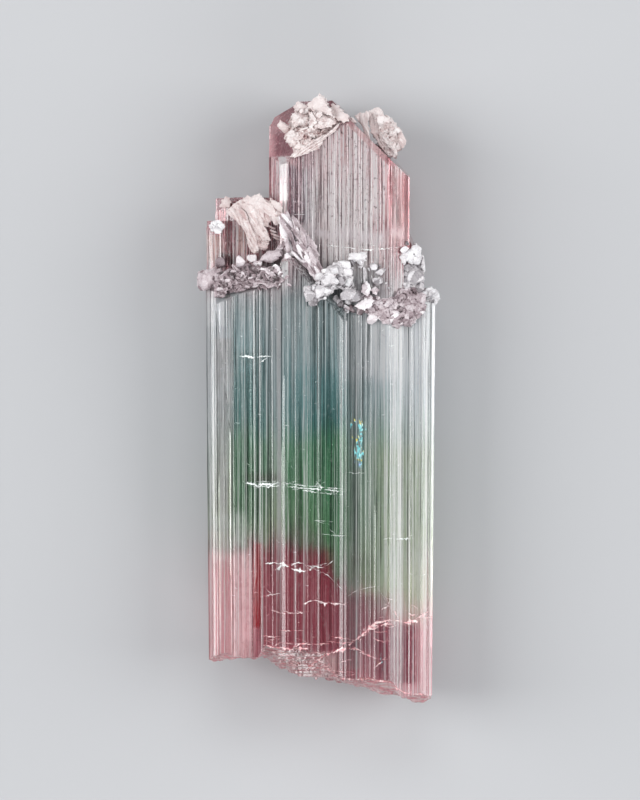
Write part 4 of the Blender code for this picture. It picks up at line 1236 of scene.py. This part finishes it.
FAN = [
    (-15.6, 31.0), (-14.6, 31.9), (-13.4, 33.0), (-12.6, 33.4), (-11.4, 33.4), (-10.1, 33.6),
    (-9.3, 33.3), (-8.7, 32.8), (-7.5, 32.8), (-6.4, 32.0), (-6.3, 31.1), (-5.9, 29.9),
    (-7.0, 29.5), (-8.7, 29.8), (-9.4, 29.8), (-8.9, 28.3), (-8.6, 27.3), (-8.2, 26.2),
    (-9.4, 26.2), (-10.0, 25.6), (-10.2, 24.3), (-11.4, 24.4), (-11.9, 25.4), (-12.2, 27.0),
    (-12.8, 28.4), (-14.0, 29.6), (-14.9, 30.3),
]
fan_left = [
    patch(FAN, 17.4, 14.6, 0.72, lean=(0.05, 0.02), dome=0.4, relief=0.14, grain=0.9, mottle=0.14,
          ribs=(33, 0.8, 0.18)),
    patch(
        [(-12.9, 33.0), (-12.0, 33.8), (-11.6, 33.1), (-11.2, 33.7), (-10.1, 34.1), (-9.3, 33.4),
         (-8.9, 32.7), (-10.2, 32.0), (-11.8, 32.2)],
        17.9, 14.5, 0.85, lean=(0.0, -0.2), dome=0.3, relief=0.12, mottle=0.1,
    ),
    patch(
        [(-16.8, 31.9), (-16.3, 33.2), (-15.8, 33.7), (-15.2, 33.5), (-14.6, 32.6), (-15.0, 31.9),
         (-16.0, 31.7)],
        16.9, 13.8, 0.7, lean=(-0.2, -0.3), dome=0.3, relief=0.15, grain=0.9, mottle=0.08,
    ),
    patch(
        [(-15.4, 31.0), (-14.2, 31.4), (-12.6, 30.6), (-11.3, 28.4), (-10.6, 26.4), (-10.1, 24.6),
         (-11.2, 24.2), (-11.9, 25.4), (-12.1, 27.0), (-12.8, 28.5), (-14.0, 29.7)],
        17.7, 15.6, 0.7, lean=(0.2, 0.05), dome=0.15, relief=0.14, grain=0.8, mottle=0.12,
        ribs=(25, 0.6, 0.14),
    ),
    patch(
        [(-13.6, 32.6), (-11.4, 32.4), (-10.2, 31.0), (-9.5, 29.7), (-8.9, 28.0), (-8.1, 26.2),
         (-9.5, 26.1), (-10.8, 28.2), (-12.2, 30.4)],
        17.9, 16.0, 0.76, lean=(0.2, 0.08), dome=0.15, relief=0.14, grain=0.8, mottle=0.12,
        ribs=(30, 0.7, 0.14),
    ),
    patch(
        [(-11.2, 32.5), (-9.0, 32.7), (-7.5, 32.6), (-6.4, 31.9), (-6.2, 30.8), (-6.0, 29.9),
         (-7.4, 29.7), (-9.3, 30.0), (-10.6, 31.0)],
        17.9, 15.6, 0.78, lean=(0.0, 0.1), dome=0.2, relief=0.14, grain=0.8, mottle=0.1,
        ribs=(60, 0.9, 0.1),
    ),
    patch(
        [(-8.3, 33.0), (-7.2, 32.8), (-6.3, 31.8), (-6.4, 31.0), (-7.6, 31.6)],
        18.4, 16.0, 0.86, lean=(0.2, 0.1), dome=0.2, relief=0.1, grain=1.0, mottle=0.06,
    ),
    patch(
        [(-10.7, 26.5), (-9.6, 26.8), (-8.5, 26.3), (-8.7, 25.0), (-10.0, 24.5), (-10.6, 25.0)],
        17.5, 15.2, 0.66, dome=0.25, relief=0.3, grain=0.6,
    ),
]
rng = np.random.default_rng(13)
for step in range(4):
    middle = (-8.0 + 0.25 * step, 28.4 - 0.6 * step, 17.1 - 0.1 * step)
    fan_left.append(faceted(middle, (0.75, 0.2, 0.3), rng, 0.66, (0, 14, -25), faces=10))
for _ in range(26):
    share, down = rng.uniform(0, 1), rng.uniform(0.6, 2.6)
    angle = math.radians(-58 - 14 * share + rng.normal(0, 5))
    if share < 0.45:
        down += rng.choice([0.0, 2.6])
    x, y = -14.2 + 6.6 * share + down * math.cos(angle), 31.6 + 0.6 * share + down * math.sin(angle)
    half = (rng.uniform(0.9, 1.7), rng.uniform(0.3, 0.55), 0.22)
    level = 18.1 - 0.1 * down + rng.uniform(-0.2, 0.15)
    angles = (rng.normal(0, 16), rng.normal(0, 5), math.degrees(angle))
    fan_left.append(faceted((x, y, level), half, rng, rng.uniform(0.6, 0.9), angles, faces=9))
grown_on(fan_left, "fan_left_blades", "albite_fan_left", cleavelandite)

# ---------------------------------------------------------------------------
# The knobs. Tight balls of small white albite crystals at the two ends of the shoulder,
# each grown on the edge of the outer prisms.
# ---------------------------------------------------------------------------

# White albite: small blocky crystals without the warm cast, glassy on their faces, with
# painted shade, grey, in the gaps between them.
white_albite = feldspar(
    "white albite",
    [(-0.1, "#3d383a"), (0.25, "#777174"), (0.55, "#b2adb0"), (0.8, "#d6d2d4"), (1.1, "#f4f3f4")],
    (0.1, 0.35),
    0.1,
    0.5,
)
rng = np.random.default_rng(14)
knob_left = [faceted((-17.2, 28.6, 16.7), (1.35, 1.3, 1.4), rng, 0.9, faces=40)]
knob_left += strewn(
    [(-18.2, 28.6), (-17.2, 29.5), (-16.2, 28.6), (-17.2, 27.6)],
    (17.3, 17.9), 16, 0.9, 0.88, rng,
)
grown_on(knob_left, "knob_left_crystals", "albite_knob_left", white_albite)

rng = np.random.default_rng(15)
knob_right = [
    faceted(middle, half, rng, 0.98, faces=22)
    for middle, half in (
        ((18.7, 16.8, 12.4), (1.4, 1.3, 1.7)),
        ((17.9, 17.9, 12.0), (1.1, 0.9, 1.9)),
        ((18.3, 16.9, 9.6), (1.4, 1.5, 1.9)),
    )
]
knob_right += strewn(
    [(16.9, 17.1), (17.7, 18.1), (19.3, 17.4), (19.6, 16.0), (18.4, 15.7)],
    (12.6, 14.2), 30, 1.1, 1.0, rng,
)
grown_on(knob_right, "knob_right_crystals", "albite_knob_right", white_albite)

# ---------------------------------------------------------------------------
# The collar. Albite grew as a crust round the shoulder, where the outer prisms end: thin
# lilac-grey blades on the left, white blocky crystals in the middle and mottled glassy
# grains on the right.
# ---------------------------------------------------------------------------

# Lilac crust: albite in fine grains with a lilac cast. Its bright faces are painted glints,
# and the gaps between the grains are painted shade, a dull brown.
lilac_crust = feldspar(
    "lilac albite crust",
    [(-0.1, "#3a3032"), (0.15, "#5e5053"), (0.4, "#8f7f83"), (0.6, "#b3a4a8"), (0.8, "#d5cbce"),
     (1.1, "#f6f3f4")],
    (0.1, 0.36),
    0.08,
    0.38,
)
rng = np.random.default_rng(16)
collar_left = [
    patch(
        [(-20.2, 19.6), (-19.9, 20.8), (-19.0, 21.4), (-17.8, 21.7), (-16.4, 21.6), (-15.4, 20.8),
         (-15.3, 19.4), (-16.8, 18.6), (-17.8, 18.6), (-18.4, 18.1), (-19.3, 17.9), (-19.9, 18.7)],
        17.9, 13.0, 0.62, lean=(0.15, 0.0), dome=1.1, relief=0.12, grain=1.4, mottle=0.1,
    ),
    patch(
        [(-17.6, 18.8), (-15.6, 21.4), (-12.9, 21.9), (-9.4, 21.9), (-7.4, 20.6), (-5.2, 19.4),
         (-6.2, 18.7), (-9.0, 18.7), (-11.4, 18.2), (-14.4, 17.6), (-17.2, 17.0)],
        19.4, 15.5, 0.42, dome=0.3, relief=0.5, grain=0.8, mottle=0.2,
    ),
    patch(
        [(-10.2, 22.8), (-9.4, 23.9), (-8.6, 24.6), (-6.6, 24.6), (-6.3, 23.6), (-8.0, 22.5)],
        19.0, 15.0, 0.68, lean=(0.0, -0.3), dome=0.6, relief=0.08, grain=1.3, mottle=0.07,
    ),
    faceted((-13.2, 22.5, 18.4), (1.0, 1.1, 1.0), rng, 0.82, faces=20),
    faceted((-11.2, 23.2, 18.2), (0.9, 0.9, 0.9), rng, 0.8, faces=20),
    faceted((-10.4, 22.2, 18.8), (0.8, 0.7, 0.8), rng, 0.75, faces=18),
    faceted((-16.6, 22.6, 16.6), (0.9, 1.2, 1.0), rng, 0.35, faces=12),
    faceted((-16.6, 17.4, 18.4), (1.2, 0.9, 1.0), rng, 0.45, faces=20),
    faceted((-9.2, 18.8, 19.8), (0.7, 0.45, 0.5), rng, 0.98, faces=10),
    faceted((-10.4, 19.2, 19.8), (0.5, 0.4, 0.4), rng, 0.95, faces=10),
    faceted((-7.2, 21.5, 20.1), (1.0, 0.55, 0.4), rng, 1.0, (0, 0, -50), faces=10),
    faceted((-6.4, 20.6, 20.3), (0.9, 0.5, 0.4), rng, 0.95, (0, 0, -30), faces=10),
]
for _ in range(110):
    x = rng.uniform(-17.4, -5.2)
    y = np.interp(x, (-17.4, -13.0, -5.2), (19.2, 20.3, 20.1)) + rng.uniform(-1.5, 1.5)
    half = (rng.uniform(0.5, 1.3), rng.uniform(0.25, 0.6), rng.uniform(0.15, 0.3))
    z = np.interp(x, (-17.4, -15.0, -5.2), (18.7, 19.6, 20.3)) + rng.uniform(-0.3, 0.2)
    angles = (rng.normal(0, 28), rng.normal(0, 22), rng.normal(-20, 38))
    tint = np.interp(x, (-14.0, -9.0), (0.34, 0.46)) + rng.uniform(-0.32, 0.32)
    collar_left.append(faceted((x, y, z), half, rng, tint, angles, faces=9))
collar_left += crust(
    [(-18.4, 19.8, 16.5), (-18.6, 19.8, 12.0), (-18.4, 20.0, 8.2)],
    0.9, 30, 1.7, 0.6, rng, 0.1, 0.7, 16,
)
collar_left += crust(
    [(-7.9, 24.4, 17.5), (-5.8, 25.4, 18), (-5.0, 23.2, 20)],
    0.6, 18, 0.9, 0.5, rng, 0.25,
)
grown_on(collar_left, "collar_left_crust", "albite_collar_left", lilac_crust)

rng = np.random.default_rng(17)
collar_middle = [
    patch(
        [(-0.9, 19.0), (-0.4, 20.2), (0.8, 21.4), (1.9, 21.9), (3.2, 22.8), (4.5, 22.6),
         (5.3, 21.2), (5.4, 18.8), (4.6, 17.6), (3.2, 18.4), (1.9, 17.6), (0.4, 16.4),
         (-0.9, 15.8), (-2.4, 16.0), (-2.6, 17.4), (-1.8, 18.6)],
        20.2, 17.6, 0.72, lean=(-0.15, -0.1), dome=0.5, relief=0.5, grain=0.9, mottle=0.2,
    ),
    patch(
        [(4.7, 23.0), (4.8, 24.0), (6.0, 24.3), (7.7, 24.2), (7.9, 23.6), (7.2, 23.1), (6.0, 22.8)],
        18.9, 17.2, 0.9, dome=0.5, relief=0.12, grain=1.0, mottle=0.06,
    ),
] + [
    faceted((x, y, z), (size, size * 0.85, size * 0.8), rng, tint, faces=13)
    for x, y, z, size, tint in (
        (3.9, 22.1, 19.3, 1.15, 0.95), (2.1, 21.2, 19.8, 1.15, 0.95), (4.5, 20.8, 19.4, 1.2, 0.92),
        (1.2, 19.6, 20.9, 1.35, 0.82), (3.6, 19.6, 20.9, 0.85, 0.35), (2.3, 19.4, 21.2, 0.9, 0.85),
        (4.6, 19.2, 20.0, 0.9, 0.95), (0.0, 20.2, 20.6, 0.9, 0.75), (4.6, 17.2, 20.0, 1.3, 0.6),
        (5.9, 17.0, 18.9, 1.1, 0.5), (-0.2, 17.6, 21.3, 1.2, 0.75), (1.0, 17.8, 21.2, 1.0, 0.7),
        (-1.6, 17.0, 21.2, 1.1, 0.62), (-1.1, 15.9, 21.1, 0.9, 0.4), (-2.1, 18.1, 20.9, 0.9, 0.6),
        (2.6, 22.2, 19.0, 0.7, 0.9), (0.9, 21.0, 20.2, 0.8, 0.85),
    )
]
collar_middle += crust([(3.4, 17.4, 20), (5.4, 15.2, 19)], 0.5, 16, 0.9, 0.5, rng, 0.25)
collar_middle += crust(
    [(-1.8, 16.6, 21), (-0.6, 17.8, 21), (1.2, 18.6, 21), (2.4, 20.6, 21), (3.8, 21.6, 20),
     (5.0, 18.0, 20)],
    0.9, 60, 0.85, 0.85, rng, 0.18,
)
grown_on(
    collar_middle, "collar_middle_crystals", "albite_collar_middle", white_albite
)

rng = np.random.default_rng(18)
collar_right = [
    patch(
        [(8.6, 16.0), (10.4, 16.6), (12.4, 16.9), (13.4, 18.2), (15.4, 18.2), (17.0, 17.2),
         (17.8, 15.2), (16.6, 13.4), (14.6, 12.2), (12.4, 11.9), (10.6, 12.6), (9.2, 13.8)],
        17.9, 14.5, 0.6, lean=(-0.2, 0.0), dome=0.8, relief=0.6, grain=1.1, mottle=0.2,
    ),
    patch(
        [(5.8, 15.3), (6.8, 16.3), (8.4, 16.7), (9.0, 16.2), (8.2, 15.0), (7.4, 14.5), (6.6, 14.8)],
        19.7, 16.5, 0.95, lean=(0.1, -0.3), dome=0.25, relief=0.1, grain=1.0, mottle=0.05,
    ),
    patch(
        [(6.9, 17.6), (7.0, 18.8), (7.7, 19.5), (8.4, 18.8), (8.5, 17.8), (7.8, 17.0)],
        19.3, 16.8, 0.86, lean=(0.3, -0.2), dome=0.3, relief=0.15, grain=0.7,
    ),
    patch(
        [(8.4, 18.1), (9.2, 18.6), (9.9, 18.1), (9.4, 17.3), (8.6, 17.4)],
        19.0, 16.8, 0.8, lean=(-0.2, -0.2), dome=0.3, relief=0.15, grain=0.6,
    ),
] + [
    faceted((x, y, z), (size, size * 0.8, size * 0.8), rng, tint, faces=14)
    for x, y, z, size, tint in (
        (13.4, 17.7, 16.6, 1.1, 0.5), (15.0, 17.4, 16.0, 1.5, 0.48), (16.4, 16.6, 15.4, 1.2, 0.55),
        (14.0, 16.2, 17.3, 1.0, 0.85), (15.8, 14.9, 16.5, 1.3, 0.8), (14.8, 13.4, 17.0, 1.1, 0.76),
        (12.6, 15.8, 18.0, 1.0, 0.72), (11.0, 15.8, 18.2, 0.9, 0.8), (12.0, 14.2, 18.2, 1.1, 0.78),
        (10.2, 14.4, 18.3, 1.0, 0.66), (13.0, 12.8, 17.8, 1.0, 0.84), (11.0, 12.9, 18.1, 0.8, 0.6),
        (16.8, 14.0, 16.0, 1.0, 0.7), (9.6, 15.6, 18.4, 0.9, 0.75),
    )
]
collar_right += crust(
    [(9.4, 14.8, 19), (11.4, 14.4, 19), (13.4, 14.6, 18.5), (15.6, 15.4, 17.5)],
    1.4, 90, 1.0, 0.98, rng, 0.14,
)
collar_right += crust([(5.0, 15.2, 19), (9.2, 14.4, 19)], 0.5, 26, 0.9, 0.5, rng, 0.25)
collar_right += crust([(6.0, 16.8, 19), (9.9, 16.6, 19)], 0.5, 18, 0.9, 0.6, rng, 0.25)
grown_on(collar_right, "collar_right_crust", "albite_collar_right", lilac_crust)

# ---------------------------------------------------------------------------
# The strays. A few albite crystals below 2 mm, which seeded apart from the collar on the
# foot of the tall prism.
# ---------------------------------------------------------------------------

rng = np.random.default_rng(21)
strays = [
    faceted((8.9, 21.8, 18.1), (0.8, 0.75, 0.5), rng, 0.7, faces=12),
    faceted((10.0, 21.1, 18.1), (0.95, 0.5, 0.5), rng, 0.75, (0, 0, 20), faces=12),
    faceted((7.4, 20.6, 18.0), (0.3, 1.3, 0.35), rng, 0.8, faces=12),
    faceted((9.4, 19.4, 18.1), (0.7, 0.6, 0.5), rng, 0.6, faces=12),
]
strays += crust(
    [(5.6, 22.2, 18.5), (8.4, 22.4, 18.5), (10.6, 18.6, 18.5)],
    1.1, 26, 0.6, 0.65, rng, 0.2,
)
grown_on(strays, "tall_prism_crystals", None, white_albite)

# ---------------------------------------------------------------------------
# The sheaf. Long lilac-grey blades of albite lie side by side down the corner between the
# tall prism and the front prisms, into the collar, with a narrow white one to their left.
# ---------------------------------------------------------------------------

rng = np.random.default_rng(20)
sheaf = [
    patch(
        [(-6.3, 29.8), (-5.0, 30.2), (-3.4, 29.0), (-2.2, 27.6), (-1.2, 26.0), (-1.5, 24.4),
         (-3.0, 24.2), (-4.4, 25.4), (-5.2, 26.8), (-5.9, 28.2)],
        18.4, 16.8, 0.6, dome=0.3, relief=0.16, grain=1.6, mottle=0.1,
    ),
    patch(
        [(-3.4, 26.2), (-2.2, 26.8), (-0.9, 26.0), (0.0, 24.0), (-0.6, 22.4), (-2.0, 23.0),
         (-3.4, 24.6)],
        18.8, 16.8, 0.68, lean=(0.1, 0.1), dome=0.2, relief=0.16, grain=1.6, mottle=0.1,
    ),
    patch(
        [(-4.6, 25.2), (-3.4, 24.9), (-2.2, 23.4), (-2.1, 21.6), (-3.2, 21.8), (-4.2, 23.4)],
        19.0, 17.4, 0.56, lean=(0.1, 0.1), dome=0.2, relief=0.16, grain=1.6, mottle=0.1,
    ),
    patch(
        [(-2.1, 22.9), (-1.2, 23.6), (-0.3, 23.0), (-0.05, 21.4), (-0.4, 19.2), (-1.4, 20.3),
         (-2.2, 21.6)],
        19.9, 17.4, 0.68, lean=(0.0, -0.2), dome=0.2, relief=0.16, grain=1.6, mottle=0.1,
    ),
    patch(
        [(-6.7, 29.4), (-6.0, 29.1), (-5.2, 27.2), (-4.6, 25.2), (-4.3, 23.6), (-5.1, 23.6),
         (-5.6, 25.4), (-6.2, 26.4), (-6.7, 27.6)],
        18.7, 16.6, 0.98, lean=(0.1, 0.0), dome=0.25, relief=0.06, grain=1.2, mottle=0.04,
    ),
]
for share in np.linspace(0, 1, 40):
    x, y = -5.0 + 4.2 * share + rng.normal(0, 0.75), 29.2 - 8.4 * share + rng.normal(0, 0.5)
    z = 18.9 + 1.2 * share + rng.uniform(-0.3, 0.2)
    half = (rng.uniform(1.0, 2.1), rng.uniform(0.25, 0.5), rng.uniform(0.2, 0.35))
    tilt = (rng.normal(0, 12), 4, -62 + rng.normal(0, 13))
    sheaf.append(faceted((x, y, z), half, rng, rng.uniform(0.5, 0.9), tilt, faces=10))
grown_on(sheaf, "lilac_sheaf", None, lilac_crust)

# ---------------------------------------------------------------------------
# The right shoulder. A white tuft of albite and a clear, milky crust below it, on the
# narrow prism beside the tall one.
# ---------------------------------------------------------------------------

rng = np.random.default_rng(19)
shoulder_right = [
    patch(
        [(13.2, 23.6), (13.8, 24.2), (14.8, 24.7), (15.4, 25.5), (16.2, 25.7), (16.7, 25.2),
         (16.9, 23.4), (16.6, 22.2), (15.4, 22.3), (14.6, 22.7), (13.7, 22.4)],
        16.6, 12.0, 0.9, lean=(-0.4, 0.0), dome=0.7, relief=0.3, grain=0.9, mottle=0.1,
    ),
    patch(
        [(13.6, 22.2), (15.8, 22.5), (17.1, 22.4), (17.3, 20.4), (17.2, 18.4), (15.8, 17.6),
         (13.8, 18.0), (13.2, 19.6)],
        15.8, 11.0, 0.6, lean=(-0.4, 0.0), dome=0.5, relief=0.4, grain=1.0, mottle=0.2,
    ),
    faceted((15.7, 20.3, 16.0), (1.5, 1.5, 1.2), rng, 0.62, faces=24),
    faceted((14.2, 18.8, 16.2), (1.1, 0.9, 0.9), rng, 0.6, faces=20),
    faceted((16.5, 18.6, 15.2), (1.0, 1.1, 1.0), rng, 0.66, faces=20),
    faceted((16.8, 22.4, 13.4), (1.0, 2.0, 1.8), rng, 0.7, faces=20),
]
shoulder_right += crust([(15.2, 24.4, 16.5), (15.0, 18.6, 16.0)], 1.5, 40, 0.9, 0.75, rng, 0.2)
grown_on(
    shoulder_right, "shoulder_right_crystals", "albite_shoulder_right", white_albite
)

# ---------------------------------------------------------------------------
# The studio. A floor of pale paper, four soft lights round the crystal and a camera
# straight above it. None of it is part of the object.
# ---------------------------------------------------------------------------

floor_mesh = bpy.data.meshes.new("floor")
reach = 1.5
floor_mesh.from_pydata(
    [(-reach, -reach, 0), (reach, -reach, 0), (reach, reach, 0), (-reach, reach, 0)],
    [],
    [(0, 1, 2, 3)],
)
floor = new_object("floor", floor_mesh)
paper = new_material("pale paper", {"Base Color": linear("#b6b7b9"), "Roughness": 0.9})[0]
floor_mesh.materials.append(paper)

world = bpy.data.worlds.new("studio")
bpy.context.scene.world = world
world.use_nodes = True
world.node_tree.nodes["Background"].inputs["Color"].default_value = linear("#c8ccd2")
world.node_tree.nodes["Background"].inputs["Strength"].default_value = 0.45


def soft_light(name, place, aim, size, watts):
    """A rectangular light at place whose -Z axis points at aim.

    Its tilt is the angle between +Z and the way back, and its turn is that way's own.
    """
    light = bpy.data.lights.new(name, "AREA")
    light.shape = "RECTANGLE"
    light.size, light.size_y = size
    light.energy = watts
    lamp = new_object(name, light)
    lamp.location = place
    away = np.array(place) - np.array(aim)
    lamp.rotation_euler = (
        math.acos(away[2] / np.linalg.norm(away)), 0.0, math.atan2(away[1], away[0]) + math.pi / 2
    )


soft_light("left softbox", (-0.75, 0.1, 0.55), (0, 0, 0), (0.5, 0.9), 8.1)
soft_light("right softbox", (0.75, 0.1, 0.5), (0, 0, 0), (0.5, 0.9), 6.2)
soft_light("top light", (0.0, 0.65, 0.8), (0, 0, 0), (0.6, 0.3), 2.2)
soft_light("foot light", (0.1, -0.75, 0.3), (0, -0.04, 0), (0.6, 0.3), 2.9)

CAMERA_AWAY = 1.2  # above the crystal's middle depth
FRAME_TALL = 133.33 * MM  # what the frame's height shows there
camera = bpy.data.cameras.new("camera")
camera.sensor_fit = "VERTICAL"
camera.sensor_height = 24
camera.lens = 24 * CAMERA_AWAY / FRAME_TALL
camera.clip_start = 0.01
eye = new_object("camera", camera)
eye.location = (0.0, -0.25 * MM, CAMERA_AWAY + 14 * MM)
bpy.context.scene.camera = eye
bpy.context.scene.view_settings.view_transform = "Standard"
